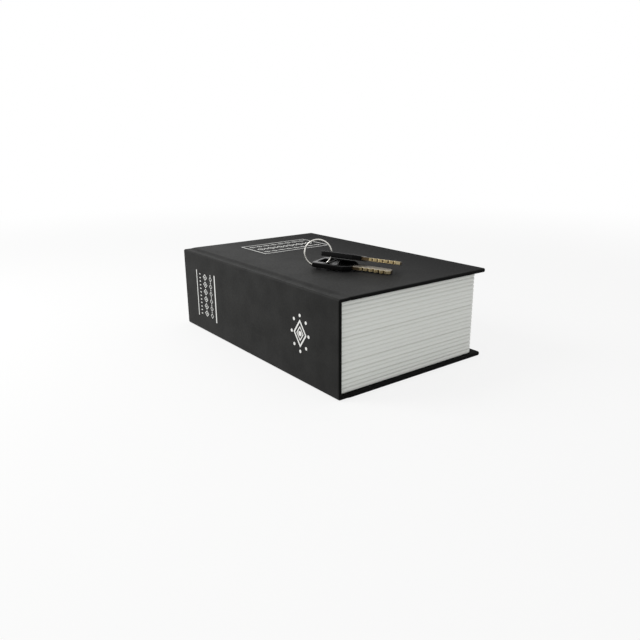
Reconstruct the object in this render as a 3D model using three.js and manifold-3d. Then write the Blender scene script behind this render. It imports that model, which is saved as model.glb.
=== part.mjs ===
// Book diversion safe: a sheet steel tray with a key-locked lid, hidden in the case binding of a hardback
// book. Millimetres. The book lies on its back cover: +X runs from the spine to the fore-edge, +Y from the
// tail to the head, +Z up. The origin is the middle of the back cover's outer face.
import * as THREE from "three";
import { mergeVertices } from "three/addons/utils/BufferGeometryUtils.js";
import Module from "manifold-3d";

const wasm = await Module();
wasm.setup();

// Working values of the model: how far a cutter runs past what it cuts and how far joined solids run into
// each other, and how finely round forms are divided
const cutOverrun = 1;
const joinOverlap = 0.5;
const roundSegments = 48;
const pinSegments = 24;
const wireSegments = 8;
const ringSegments = 40;
const cornerSegments = 6;
const keyCornerSegments = 4;

// Book, measured over the covers
const bookDepth = 115;
const bookLength = 180;
const bookHeight = 56;

// Cover boards and the leathercloth round them
const boardThickness = 1.6;
const clothThickness = 0.3;
const endpaperThickness = 0.2;
const clothTurnIn = 14;
const coverCornerRadius = 2;
const endpaperMargin = 2.5;
const spineBoardThickness = 2;
const glueLine = 0.1;

// Sunk cloth joints beside the spine
const jointWidth = 8;
const jointShoulder = 0.9;
const jointSink = 0.5;
const jointThickness = 0.5;
const jointSlopeShare = 0.2;
const hingeInset = 1.2;
const spineTopGap = 0.2;

// Page block, a ribbed strip round three sides of the tray
const pageOverhangEnds = 2.6;
const pageOverhangFore = 5.3;
const pageThicknessEnds = 2.3;
const pageThicknessFore = 5.1;
const pageCornerRadius = 3.5;
const pageRibs = 21;
const pageGrooveDepth = 0.35;
const pageGrooveWidth = 0.7;

// Steel tray
const traySheet = 1;
const linerThickness = 0.5;
const linerGap = 0.3;
const fixingHoleDiameter = 3;
const fixingHoleFromSpineWall = 15.4;
const fixingHoleHeight = 29.2;
const catchWidth = 5;
const catchThickness = 1.2;
const catchLegHeight = 9;
const catchLegThickness = 1;
const catchEndGap = 4;

// Steel lid
const lidSheet = 1;
const lidRecess = 2.6;
const lidSideGap = 0.4;
const lidForeGap = 0.5;
const lidSeatGap = 0.2;
const lidPinDrop = 4.3;
const lidTail = 2.6;
const lidOpenLean = 5;
const lidStopGap = 0.3;
const earLength = 48.3;
const earDepth = 9;
const earCornerRadius = 3;
const joggleDrop = 4;
const joggleRun = 6.5;
const joggleFromForeEdge = 37.5;
const lipBelowRim = 0.6;
const lipLean = 40;
const lipFoldRadius = 1;

// Hinge rivets
const rivetDiameter = 2.8;
const rivetClearance = 0.2;
const rivetHeadDiameter = 5.6;
const rivetHeadThickness = 1.2;
const rivetHeadChamfer = 0.5;
const rivetTailDiameter = 4.8;
const rivetTailThickness = 0.8;
const rivetPocketGap = 0.3;

// Cam lock
const lockFromForeWall = 21.5;
const lockFlangeDiameter = 21;
const lockFlangeThickness = 2.5;
const lockFlangeChamfer = 0.6;
const barrelDiameter = 18;
const barrelFlats = 16;
const barrelLength = 14;
const lockRunningGap = 0.2;
const lockWasherDiameter = 23;
const lockWasherThickness = 0.8;
const nutSides = 6;
const nutAcrossFlats = 22;
const nutThickness = 2.8;
const plugDiameter = 12;
const plugStandOff = 0.2;
const keywayLength = 8.3;
const keywayWidth = 2.4;
const keywayFloor = 6;
const driveSquare = 7;
const stopWasherDiameter = 16;
const stopWasherThickness = 1;
const stopTabLength = 3;
const stopTabWidth = 4;
const camThickness = 1.5;
const camHubDiameter = 14;
const camWidth = 9;
const camTipWidth = 6;
const camForeGap = 1;
const camPlay = 1.6;
const toothWasherDiameter = 8;
const toothWasherThickness = 0.8;
const screwHeadDiameter = 7;
const screwHeadThickness = 2.2;
const screwShankDiameter = 3.8;
const screwShankLength = 8;
const screwSlotLength = 4.6;
const screwSlotWidth = 1;
const screwSlotDepth = 1.1;

// Key ring and its two keys
const ringFromSpine = 37.5;
const ringFromTail = 67.3;
const ringYaw = -38;
const ringDiameter = 17.5;
const ringWire = 1;
const ringSeatGap = 0.2;
const keyLength = 49;
const keyHeadLength = 25;
const keyHeadWidth = 18;
const keyHeadThickness = 3;
const keyHeadChamfer = 4;
const keyHeadCornerRadius = 1.2;
const keySlotLength = 10.4;
const keySlotWidth = 6;
const keySlotRadius = 1;
const keyRim = 2;
const keyWireGap = 0.3;
const keyRestGap = 0.3;
const keyStackGap = 0.4;
const bladeWidth = 7.5;
const bladeThickness = 2;
const bladeRoot = 11;
const bladeGap = 0.1;
const bladeCuts = 5;
const bladeCutPitch = 3.4;
const bladeCutDepth = 1.5;
const bladeCutSlopeShare = 0.35;
const bladeTipBevel = 2.2;
const lowerKeyYaw = -66;
const upperKeyYaw = -65;
const upperKeySideShift = 3.6;
const upperKeyRoll = 14;

// Places that follow from the sizes
const spineX = -bookDepth / 2;
const foreX = bookDepth / 2;
const headY = bookLength / 2;
const lowerBoardBottom = clothThickness;
const lowerBoardTop = lowerBoardBottom + boardThickness;
const backTop = lowerBoardTop + clothThickness + endpaperThickness;
const coverBottom = bookHeight - backTop;
const rimZ = coverBottom - spineTopGap;
const jointX = spineX + jointWidth;
const hingeX = spineX + hingeInset;
const trayX0 = spineX + clothThickness + spineBoardThickness + 2 * glueLine;
const pageX1 = foreX - pageOverhangFore;
const trayX1 = pageX1 - pageThicknessFore - glueLine;
const pageY1 = headY - pageOverhangEnds;
const trayY1 = pageY1 - pageThicknessEnds - glueLine;
const wallX0 = trayX0 + traySheet;
const wallX1 = trayX1 - traySheet;
const wallY1 = trayY1 - traySheet;
const floorZ = backTop + traySheet;
const lidTop = rimZ - lidRecess;
const pinZ = lidTop - lidPinDrop;
const lean = THREE.MathUtils.degToRad(lidOpenLean);
const pinX = wallX0 + lidStopGap + lidPinDrop / Math.cos(lean) + (rimZ - pinZ) * Math.tan(lean);
const lidX0 = pinX - lidTail;
const lidX1 = wallX1 - lidForeGap;
const lidY1 = wallY1 - lidSideGap;
const stepTop = lidTop - joggleDrop;
const stepBottom = stepTop - lidSheet;
const catchTop = stepBottom - lidSeatGap;
const catchBottom = catchTop - catchThickness;
const lockX = wallX1 - lockFromForeWall;
const barrelBottom = stepTop - barrelLength;
const stopWasherTop = barrelBottom - lockRunningGap;
const camTop = stopWasherTop - stopWasherThickness;
const camBottom = camTop - camThickness;
const screwSeat = camBottom - toothWasherThickness;
const camReach = lockFromForeWall - catchLegThickness - camForeGap;
const ringX = spineX + ringFromSpine;
const ringY = -headY + ringFromTail;

// Materials
function finish(color, roughness, metalness) {
  return new THREE.MeshStandardMaterial({ color, roughness, metalness });
}
const leathercloth = finish(0x2b2b2a, 0.62, 0);
const greyboard = finish(0x8c8376, 0.9, 0);
const endpaper = finish(0xd8dad8, 0.85, 0);
const pagePaper = finish(0xd9dbd6, 0.8, 0);
const blackEnamel = finish(0x151716, 0.35, 0);
const linerPaper = finish(0x1c1c1c, 0.8, 0);
const zincPlate = finish(0xb9bcc0, 0.35, 1);
const nickelPlate = finish(0xc9c8c2, 0.25, 1);
const brass = finish(0xb08d48, 0.35, 1);
const blackPlastic = finish(0x141414, 0.45, 0);

// Closed surface to boolean solid
function solidOf(geometry) {
  const bare = geometry.index ? geometry.toNonIndexed() : geometry.clone();
  bare.deleteAttribute("normal");
  bare.deleteAttribute("uv");
  const merged = mergeVertices(bare, 1e-4);
  return new wasm.Manifold(
    new wasm.Mesh({
      numProp: 3,
      vertProperties: new Float32Array(merged.attributes.position.array),
      triVerts: new Uint32Array(merged.index.array),
    }),
  );
}

// Boolean solid to a flat-shaded surface
function geometryOf(solid) {
  const { vertProperties, triVerts } = solid.getMesh();
  const indexed = new THREE.BufferGeometry();
  indexed.setAttribute("position", new THREE.BufferAttribute(vertProperties, 3));
  indexed.setIndex(new THREE.BufferAttribute(triVerts, 1));
  const flat = indexed.toNonIndexed();
  flat.computeVertexNormals();
  return flat;
}

function piece(name, solid, material) {
  const mesh = new THREE.Mesh(geometryOf(solid), material);
  mesh.name = name;
  return mesh;
}

function box([x0, x1], [y0, y1], [z0, z1]) {
  const geometry = new THREE.BoxGeometry(x1 - x0, y1 - y0, z1 - z0);
  return solidOf(geometry.translate((x0 + x1) / 2, (y0 + y1) / 2, (z0 + z1) / 2));
}

// Flat outline in X and Y, raised from z0 to z1
function plate(shape, [z0, z1], curveSegments = cornerSegments) {
  const options = { depth: z1 - z0, bevelEnabled: false, curveSegments };
  return solidOf(new THREE.ExtrudeGeometry(shape, options).translate(0, 0, z0));
}

// Outline in X and Z, run along Y
function bar(shape, [y0, y1], curveSegments = cornerSegments) {
  const options = { depth: y1 - y0, bevelEnabled: false, curveSegments };
  const geometry = new THREE.ExtrudeGeometry(shape, options).rotateX(Math.PI / 2);
  return solidOf(geometry.translate(0, y1, 0));
}

function polygon(points) {
  return new THREE.Shape(points.map(([a, b]) => new THREE.Vector2(a, b)));
}

// Upright round of revolution from [radius, height] points that start and end on the axis
function turned(points, segments = roundSegments) {
  return solidOf(new THREE.LatheGeometry(points.map(([r, z]) => new THREE.Vector2(r, z)), segments)
    .rotateX(Math.PI / 2));
}

function disc(diameter, [z0, z1], segments = roundSegments) {
  const r = diameter / 2;
  return turned([[0, z0], [r, z0], [r, z1], [0, z1]], segments);
}

// Round bar along Y
function crossBar(diameter, x, z, [y0, y1], segments = pinSegments) {
  const geometry = new THREE.CylinderGeometry(diameter / 2, diameter / 2, y1 - y0, segments);
  return solidOf(geometry.translate(x, (y0 + y1) / 2, z));
}

// Outline of a bent sheet from the line through the middle of its thickness
function bentSheet(path, thickness) {
  const points = path.map(([x, z]) => new THREE.Vector2(x, z));
  const turns = points.map((point, i) => {
    const before = i ? point.clone().sub(points[i - 1]).normalize() : null;
    const after = i < points.length - 1 ? points[i + 1].clone().sub(point).normalize() : null;
    const normals = [before, after].filter(Boolean).map((d) => new THREE.Vector2(-d.y, d.x));
    const mitre = normals.reduce((sum, n) => sum.add(n), new THREE.Vector2()).normalize();
    return mitre.multiplyScalar(thickness / 2 / mitre.dot(normals[0]));
  });
  const upper = points.map((point, i) => point.clone().add(turns[i]));
  const lower = points.map((point, i) => point.clone().sub(turns[i]));
  return new THREE.Shape([...lower, ...upper.reverse()]);
}

// Panel whose two fore-edge corners are round
function panel([x0, x1], [y0, y1], radius) {
  const shape = new THREE.Shape();
  shape.moveTo(x0, y0);
  shape.lineTo(x1 - radius, y0);
  shape.absarc(x1 - radius, y0 + radius, radius, -Math.PI / 2, 0);
  shape.lineTo(x1, y1 - radius);
  shape.absarc(x1 - radius, y1 - radius, radius, 0, Math.PI / 2);
  shape.lineTo(x0, y1);
  return shape;
}

// Cover: a board, the cloth folded over its three free edges, and the paper pasted inside.
// Built with the cloth's face up at faceZ; facing is 1 for the front cover and -1 for the back cover.
function coverPieces(prefix, faceZ, facing, paperShape, paperMaterial) {
  const inward = (near, far) => [faceZ - facing * near, faceZ - facing * far].sort((a, b) => a - b);
  const boardInner = clothThickness + boardThickness;
  const turnInner = boardInner + clothThickness;
  const across = [-headY, headY];
  const insideY = [-headY + clothThickness, headY - clothThickness];
  const windowY = [-headY + clothTurnIn, headY - clothTurnIn];
  const cutX = jointX - cutOverrun;
  const hollow = panel([cutX, foreX - clothThickness], insideY, coverCornerRadius - clothThickness);
  const window = panel([cutX, foreX - clothTurnIn], windowY, coverCornerRadius);
  const cloth = plate(panel([jointX, foreX], across, coverCornerRadius), inward(0, turnInner))
    .subtract(plate(hollow, inward(clothThickness, boardInner)))
    .subtract(plate(window, inward(boardInner - cutOverrun, turnInner + cutOverrun)));
  const boardY = [insideY[0] + glueLine, insideY[1] - glueLine];
  const boardEdge = foreX - clothThickness - glueLine;
  const boardShape = panel([jointX, boardEdge], boardY, coverCornerRadius);
  const board = plate(boardShape, inward(clothThickness, boardInner));
  const paper = plate(paperShape, inward(turnInner, turnInner + endpaperThickness));
  return [
    piece(prefix + "_board", board, greyboard),
    piece(prefix + "_cloth", cloth, leathercloth),
    piece(prefix + "_endpaper", paper, paperMaterial),
  ];
}

// Cloth sunk into the joint between the spine and a cover board
function jointStrip(name, faceZ, facing, startX) {
  const mid = jointThickness / 2;
  const depth = (sink) => faceZ - facing * (jointShoulder + mid + sink);
  const slope = jointWidth * jointSlopeShare;
  const path = [
    [startX - cutOverrun, depth(0)],
    [startX, depth(0)],
    [spineX + 2 * slope, depth(jointSink)],
    [jointX - slope, depth(jointSink)],
    [jointX, depth(0)],
    [jointX + cutOverrun, depth(0)],
  ];
  const strip = bar(bentSheet(path, jointThickness), [-headY, headY]);
  const span = [faceZ, depth(jointSink + jointThickness)].sort((a, b) => a - b);
  return piece(name, strip.intersect(box([startX, jointX], [-headY, headY], span)), leathercloth);
}

function spinePieces() {
  const bottom = jointShoulder;
  const boardFace = spineX + clothThickness;
  const boardBack = boardFace + spineBoardThickness;
  const hollowX = [boardFace, boardBack + cutOverrun];
  const hollowY = headY - clothThickness;
  const cloth = box([spineX, boardBack], [-headY, headY], [bottom, rimZ])
    .subtract(box(hollowX, [-hollowY, hollowY], [bottom - cutOverrun, rimZ - clothThickness]))
    .subtract(box(hollowX, [-headY - cutOverrun, headY + cutOverrun], [bottom - cutOverrun, backTop]));
  const board = box(
    [boardFace, boardBack],
    [-hollowY + glueLine, hollowY - glueLine],
    [backTop, rimZ - clothThickness - glueLine],
  );
  return [piece("spine_board", board, greyboard), piece("spine_cloth", cloth, leathercloth)];
}

// Closed surface through rings of points, from the lowest ring to the highest
function loft(rings) {
  const count = rings[0].length;
  const positions = rings.flat(2);
  const index = [];
  for (let k = 0; k + 1 < rings.length; k++) {
    for (let i = 0; i < count; i++) {
      const a = k * count + i;
      const b = k * count + ((i + 1) % count);
      index.push(a, b, b + count, a, b + count, a + count);
    }
  }
  const top = (rings.length - 1) * count;
  for (let i = 1; i + 1 < count; i++) {
    index.push(0, i + 1, i, top, top + i, top + i + 1);
  }
  const geometry = new THREE.BufferGeometry();
  geometry.setAttribute("position", new THREE.Float32BufferAttribute(positions, 3));
  geometry.setIndex(index);
  return solidOf(geometry);
}

// Page block: a ribbed slab with the tray's place and the rivet tails' pockets cut out
function pageBlock() {
  const pitch = (rimZ - backTop) / pageRibs;
  const ringAt = (z, inset) => {
    const edges = [-pageY1 + inset, pageY1 - inset];
    const outline = panel([trayX0, pageX1 - inset], edges, pageCornerRadius - inset);
    return outline.getPoints(cornerSegments).map((point) => [point.x, point.y, z]);
  };
  const rings = [ringAt(backTop, pageGrooveDepth)];
  for (let k = 0; k < pageRibs; k++) {
    const low = backTop + k * pitch;
    rings.push(ringAt(low + pageGrooveWidth / 2, 0));
    rings.push(ringAt(low + pitch - pageGrooveWidth / 2, 0));
    rings.push(ringAt(low + pitch, pageGrooveDepth));
  }
  const reach = trayY1 + glueLine;
  const trayPlace = box([trayX0 - cutOverrun, trayX1 + glueLine], [-reach, reach], [0, bookHeight]);
  const pocketDiameter = rivetTailDiameter + 2 * rivetPocketGap;
  const pocketEnd = trayY1 + rivetTailThickness + rivetPocketGap;
  const pockets = crossBar(pocketDiameter, pinX, pinZ, [-pocketEnd, pocketEnd]);
  return piece("page_block", loft(rings).subtract(trayPlace).subtract(pockets), pagePaper);
}

function trayPieces() {
  const shell = box([trayX0, trayX1], [-trayY1, trayY1], [backTop, rimZ]);
  const inside = box([wallX0, wallX1], [-wallY1, wallY1], [floorZ, rimZ + cutOverrun]);
  const pinHole = rivetDiameter + 2 * rivetClearance;
  const fixingHole = crossBar(
    fixingHoleDiameter,
    wallX0 + fixingHoleFromSpineWall,
    floorZ + fixingHoleHeight,
    [wallY1 - cutOverrun, trayY1 + cutOverrun],
  );
  const tray = shell
    .subtract(inside)
    .subtract(crossBar(pinHole, pinX, pinZ, [-trayY1 - cutOverrun, trayY1 + cutOverrun]))
    .subtract(fixingHole);
  const liner = box(
    [wallX0 + linerGap, wallX1 - linerGap],
    [-wallY1 + linerGap, wallY1 - linerGap],
    [floorZ, floorZ + linerThickness],
  );
  const catchY = [-wallY1 + catchEndGap, wallY1 - catchEndGap];
  const angle = box([wallX1 - catchWidth, wallX1], catchY, [catchBottom, catchTop]).add(
    box([wallX1 - catchLegThickness, wallX1], catchY, [catchBottom - catchLegHeight, catchTop]),
  );
  return [
    piece("tray", tray, blackEnamel),
    piece("tray_liner", liner, linerPaper),
    piece("catch_strip", angle, blackEnamel),
  ];
}

// Rivet through the tray's end wall and the lid's ear; side is -1 at the tail and 1 at the head
function hingeRivet(name, side) {
  const headInner = lidY1 - lidSheet - rivetClearance - rivetHeadThickness;
  const shank = rivetDiameter / 2;
  const profile = [
    [0, headInner],
    [rivetHeadDiameter / 2 - rivetHeadChamfer, headInner],
    [rivetHeadDiameter / 2, headInner + rivetHeadChamfer],
    [rivetHeadDiameter / 2, headInner + rivetHeadThickness],
    [shank, headInner + rivetHeadThickness],
    [shank, trayY1],
    [rivetTailDiameter / 2, trayY1],
    [rivetTailDiameter / 2, trayY1 + rivetTailThickness],
    [0, trayY1 + rivetTailThickness],
  ].map(([r, y]) => new THREE.Vector2(r, y));
  const geometry = new THREE.LatheGeometry(profile, pinSegments);
  if (side < 0) geometry.rotateX(Math.PI);
  return piece(name, solidOf(geometry.translate(pinX, 0, pinZ)), zincPlate);
}

// Barrel section with its two flats, for the lock's body and the hole it stands in
function flattedRound(diameter, flats, span) {
  const half = diameter / 2;
  return disc(diameter, span).intersect(box([-flats / 2, flats / 2], [-half, half], span));
}

function lidPlate() {
  const mid = lidSheet / 2;
  const lip = THREE.MathUtils.degToRad(lipLean);
  const joggleEnd = lidX1 - joggleFromForeEdge;
  const fold = new THREE.Path();
  const [turnX, turnZ] = [lidX1 - mid - lipFoldRadius, stepBottom + mid + lipFoldRadius];
  fold.absarc(turnX, turnZ, lipFoldRadius, -Math.PI / 2, lip);
  const folded = fold.getPoints(cornerSegments).map((point) => [point.x, point.y]);
  const [foldX, foldZ] = folded[folded.length - 1];
  const lipRise = rimZ - lipBelowRim - mid * Math.sin(lip) - foldZ;
  const path = [
    [lidX0, lidTop - mid],
    [joggleEnd - joggleRun, lidTop - mid],
    [joggleEnd, stepBottom + mid],
    ...folded,
    [foldX - lipRise * Math.tan(lip), foldZ + lipRise],
  ];
  const ear = new THREE.Shape();
  const earBottom = lidTop - lidSheet - earDepth;
  const earX1 = lidX0 + earLength;
  const r = earCornerRadius;
  ear.moveTo(lidX0 + r, earBottom);
  ear.lineTo(earX1 - r, earBottom);
  ear.absarc(earX1 - r, earBottom + r, r, -Math.PI / 2, 0);
  ear.lineTo(earX1, lidTop - mid);
  ear.lineTo(lidX0, lidTop - mid);
  ear.absarc(lidX0 + r, earBottom + r, r, Math.PI, 1.5 * Math.PI);
  const pinHole = rivetDiameter + 2 * rivetClearance;
  const fit = 2 * lockRunningGap;
  const holeSpan = [stepBottom - cutOverrun, stepTop + cutOverrun];
  const lockHole = flattedRound(barrelDiameter + fit, barrelFlats + fit, holeSpan);
  return bar(bentSheet(path, lidSheet), [-lidY1, lidY1])
    .add(bar(ear, [-lidY1, -lidY1 + lidSheet]))
    .add(bar(ear, [lidY1 - lidSheet, lidY1]))
    .subtract(crossBar(pinHole, pinX, pinZ, [-lidY1 - cutOverrun, lidY1 + cutOverrun]))
    .subtract(lockHole.translate([lockX, 0, 0]));
}

// Lock body with its washer and nut, about the lock's own axis
function lockBodyPieces() {
  const r = lockFlangeDiameter / 2;
  const flangeTop = stepTop + lockFlangeThickness;
  const flange = turned([
    [0, stepTop],
    [r, stepTop],
    [r, flangeTop - lockFlangeChamfer],
    [r - lockFlangeChamfer, flangeTop],
    [0, flangeTop],
  ]);
  const barrel = flattedRound(barrelDiameter, barrelFlats, [barrelBottom, stepTop + joinOverlap]);
  const bore = disc(plugDiameter + 2 * lockRunningGap, [barrelBottom - cutOverrun, flangeTop + cutOverrun]);
  const throat = disc(barrelDiameter + 2 * lockRunningGap, [0, bookHeight]);
  const nutTop = stepBottom - lockWasherThickness;
  const nutAcrossCorners = nutAcrossFlats / Math.cos(Math.PI / nutSides);
  const nut = disc(nutAcrossCorners, [nutTop - nutThickness, nutTop], nutSides);
  const washer = disc(lockWasherDiameter, [nutTop, stepBottom]);
  return [
    piece("lock_body", flange.add(barrel).subtract(bore), zincPlate),
    piece("lock_washer", washer.subtract(throat), zincPlate),
    piece("lock_nut", nut.subtract(throat), zincPlate),
  ];
}

// Turning part of the lock at its unlocked place, the cam pointing to the tail
function lockCorePieces() {
  const plugTop = stepTop + lockFlangeThickness + plugStandOff;
  const keyway = box(
    [-keywayWidth / 2, keywayWidth / 2],
    [-keywayLength / 2, keywayLength / 2],
    [barrelBottom + keywayFloor, plugTop + cutOverrun],
  );
  const square = (size, span) => box([-size / 2, size / 2], [-size / 2, size / 2], span);
  const shankTop = screwSeat + screwShankLength;
  const screwHole = screwShankDiameter + 2 * lockRunningGap;
  const plug = disc(plugDiameter, [stopWasherTop, plugTop])
    .add(square(driveSquare, [camBottom + glueLine, stopWasherTop + joinOverlap]))
    .subtract(keyway)
    .subtract(disc(screwHole, [camBottom - cutOverrun, shankTop + lockRunningGap], pinSegments));
  const driveSpan = [camBottom - cutOverrun, stopWasherTop + cutOverrun];
  const driveHole = square(driveSquare + 2 * lockRunningGap, driveSpan);
  const tabReach = stopWasherDiameter / 2 + stopTabLength;
  const stopWasher = disc(stopWasherDiameter, [camTop, stopWasherTop])
    .add(box([0, tabReach], [-stopTabWidth / 2, stopTabWidth / 2], [camTop, stopWasherTop]))
    .subtract(driveHole);
  const screw = disc(screwHeadDiameter, [screwSeat - screwHeadThickness, screwSeat])
    .add(disc(screwShankDiameter, [screwSeat - joinOverlap, shankTop], pinSegments))
    .subtract(screwCross());
  const toothWasher = disc(toothWasherDiameter, [screwSeat, camBottom])
    .subtract(disc(screwHole, [screwSeat - cutOverrun, camBottom + cutOverrun], pinSegments));
  return [
    piece("lock_plug", plug, nickelPlate),
    piece("stop_washer", stopWasher, zincPlate),
    piece("lock_cam", camPlate().subtract(driveHole), zincPlate),
    piece("tooth_washer", toothWasher, zincPlate),
    piece("cam_screw", screw, brass),
  ];
}

function screwCross() {
  const headBottom = screwSeat - screwHeadThickness;
  const span = [headBottom - cutOverrun, headBottom + screwSlotDepth];
  const arm = screwSlotLength / 2;
  const narrow = [-screwSlotWidth / 2, screwSlotWidth / 2];
  return box([-arm, arm], narrow, span).add(box(narrow, [-arm, arm], span));
}

// Cam: a flat arm whose end is bent up into a tapered hook
function camPlate() {
  const hookTop = catchBottom - camPlay;
  const half = camWidth / 2;
  const arm = disc(camHubDiameter, [camBottom, camTop])
    .add(box([-half, half], [-camReach, 0], [camBottom, camTop]));
  const tip = camTipWidth / 2;
  const hookShape = polygon([[-half, camBottom], [half, camBottom], [half, camTop], [tip, hookTop],
    [-tip, hookTop], [-half, camTop]]);
  return arm.add(bar(hookShape, [-camReach, -camReach + camThickness]));
}

// Key, flat in its own frame: +X from the head's end to the blade's tip, underside at z 0
function keyPieces(name) {
  const half = keyHeadWidth / 2;
  const r = keyHeadCornerRadius;
  const outline = new THREE.Shape();
  outline.moveTo(r, -half);
  outline.lineTo(keyHeadLength - keyHeadChamfer, -half);
  outline.lineTo(keyHeadLength, -half + keyHeadChamfer);
  outline.lineTo(keyHeadLength, half - keyHeadChamfer);
  outline.lineTo(keyHeadLength - keyHeadChamfer, half);
  outline.lineTo(r, half);
  outline.absarc(r, half - r, r, Math.PI / 2, Math.PI);
  outline.lineTo(0, -half + r);
  outline.absarc(r, -half + r, r, Math.PI, 1.5 * Math.PI);
  outline.holes.push(slotPath());
  const bladeZ = [(keyHeadThickness - bladeThickness) / 2, (keyHeadThickness + bladeThickness) / 2];
  const rootX = keyHeadLength - bladeRoot;
  const pocket = box(
    [rootX - bladeGap, keyHeadLength + cutOverrun],
    [-bladeWidth / 2 - bladeGap, bladeWidth / 2 + bladeGap],
    [bladeZ[0] - bladeGap, bladeZ[1] + bladeGap],
  );
  const head = plate(outline, [0, keyHeadThickness], keyCornerSegments).subtract(pocket);
  return [
    piece(name + "_head", head, blackPlastic),
    piece(name + "_blade", plate(bladeOutline(rootX), bladeZ), nickelPlate),
  ];
}

function slotPath() {
  const [x0, x1] = [keyRim, keyRim + keySlotWidth];
  const half = keySlotLength / 2;
  const r = keySlotRadius;
  const path = new THREE.Path();
  path.moveTo(x0 + r, -half);
  path.lineTo(x1 - r, -half);
  path.absarc(x1 - r, -half + r, r, -Math.PI / 2, 0);
  path.lineTo(x1, half - r);
  path.absarc(x1 - r, half - r, r, 0, Math.PI / 2);
  path.lineTo(x0 + r, half);
  path.absarc(x0 + r, half - r, r, Math.PI / 2, Math.PI);
  path.lineTo(x0, -half + r);
  path.absarc(x0 + r, -half + r, r, Math.PI, 1.5 * Math.PI);
  return path;
}

// Blade with a row of cuts along one edge and a bevelled tip
function bladeOutline(rootX) {
  const half = bladeWidth / 2;
  const firstCut = keyLength - bladeTipBevel - bladeCuts * bladeCutPitch;
  const points = [[rootX, half], [rootX, -half], [firstCut, -half]];
  for (let k = 0; k < bladeCuts; k++) {
    const x = firstCut + k * bladeCutPitch;
    points.push([x + bladeCutPitch * bladeCutSlopeShare, -half + bladeCutDepth]);
    points.push([x + bladeCutPitch * (1 - bladeCutSlopeShare), -half + bladeCutDepth]);
    points.push([x + bladeCutPitch, -half]);
  }
  points.push([keyLength, -half + bladeTipBevel], [keyLength, half - bladeTipBevel]);
  points.push([keyLength - bladeTipBevel, half]);
  return polygon(points);
}

// Ring standing on the cover, with one key on the cloth and the other leaning on the far edge of the first
function keyRingGroup() {
  const group = new THREE.Group();
  const wire = ringWire / 2;
  const radius = ringDiameter / 2 - wire;
  const centre = new THREE.Vector3(ringX, ringY, bookHeight + ringSeatGap + ringDiameter / 2);
  const yaw = THREE.MathUtils.degToRad(ringYaw);
  const plane = new THREE.Vector3(Math.cos(yaw), Math.sin(yaw), 0);
  const torus = new THREE.TorusGeometry(radius, wire, wireSegments, ringSegments);
  const ring = new THREE.Mesh(torus, nickelPlate);
  ring.name = "key_ring";
  ring.position.copy(centre);
  ring.rotation.set(Math.PI / 2, 0, yaw, "ZYX");
  group.add(ring);

  const lift = ringSeatGap + ringWire + keyWireGap;
  const bladeSink = (keyHeadThickness - bladeThickness) / 2;
  const tilt = Math.asin((lift + bladeSink - keyRestGap) / keyLength);
  const slotMiddle = keyRim + keySlotWidth / 2;

  const lowerYaw = THREE.MathUtils.degToRad(lowerKeyYaw);
  const lowerAxis = new THREE.Vector3(Math.cos(lowerYaw), Math.sin(lowerYaw), 0);
  const lowerSide = new THREE.Vector3(-lowerAxis.y, lowerAxis.x, 0);
  const alongPlane = (keyRim + keySlotWidth) / 2 / lowerAxis.dot(plane);
  const lower = centre.clone().addScaledVector(plane, alongPlane).addScaledVector(lowerAxis, -slotMiddle);
  lower.z = bookHeight + lift;

  const upperYaw = THREE.MathUtils.degToRad(upperKeyYaw);
  const upperRoll = THREE.MathUtils.degToRad(upperKeyRoll);
  const upperAxis = new THREE.Vector3(Math.cos(upperYaw), Math.sin(upperYaw), 0);
  const upperSide = new THREE.Vector3(-upperAxis.y, upperAxis.x, 0);
  const headHalf = keyHeadWidth / 2;
  const upperMiddle = lower.z + keyHeadThickness * 1.5 + keyStackGap + headHalf * Math.tan(upperRoll);
  const chord = Math.sqrt(radius ** 2 - (centre.z - upperMiddle) ** 2);
  const upper = centre.clone()
    .addScaledVector(plane, chord)
    .addScaledVector(upperSide, upperKeySideShift)
    .addScaledVector(upperAxis, -slotMiddle);
  const offset = upper.clone().sub(lower);
  const fallAhead = offset.dot(lowerAxis) * Math.tan(tilt);
  const riseAtEdge = (headHalf - offset.dot(lowerSide)) * Math.tan(upperRoll);
  upper.z = lower.z + (keyHeadThickness + keyStackGap) / Math.cos(tilt) - fallAhead + riseAtEdge;

  const keys = [
    ["lower_key", lower, [0, tilt, lowerYaw]],
    ["upper_key", upper, [-upperRoll, tilt, upperYaw]],
  ];
  for (const [name, origin, turns] of keys) {
    const key = new THREE.Group();
    key.add(...keyPieces(name));
    key.position.copy(origin);
    key.rotation.set(...turns, "ZYX");
    group.add(key);
  }
  return group;
}

// Book safe
const safe = new THREE.Group();

const paperY = [-headY + endpaperMargin, headY - endpaperMargin];
const frontPaper = panel([jointX, foreX - endpaperMargin], paperY, coverCornerRadius);
const paperReach = pageY1 - pageGrooveDepth;
const backPaper = panel([trayX0, pageX1 - pageGrooveDepth], [-paperReach, paperReach], pageCornerRadius);
const binding = new THREE.Group();
binding.add(...coverPieces("back", 0, -1, backPaper, linerPaper));
binding.add(jointStrip("back_joint_cloth", 0, -1, spineX + clothThickness));
binding.add(...spinePieces());
binding.add(pageBlock());
binding.add(...trayPieces());
binding.add(hingeRivet("hinge_rivet_tail", -1), hingeRivet("hinge_rivet_head", 1));
safe.add(binding);

const frontCover = new THREE.Group();
frontCover.add(...coverPieces("front", bookHeight, 1, frontPaper, endpaper));
frontCover.add(jointStrip("front_joint_cloth", bookHeight, 1, hingeX + jointThickness));
frontCover.add(keyRingGroup());
safe.add(frontCover);

const lid = new THREE.Group();
lid.add(piece("lid_plate", lidPlate(), blackEnamel));
const lock = new THREE.Group();
lock.position.x = lockX;
lock.add(...lockBodyPieces(), ...lockCorePieces());
lid.add(lock);
safe.add(lid);

export default safe;
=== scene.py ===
import math

import bmesh
import bpy
import numpy as np
from mathutils import Matrix, Vector


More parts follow.
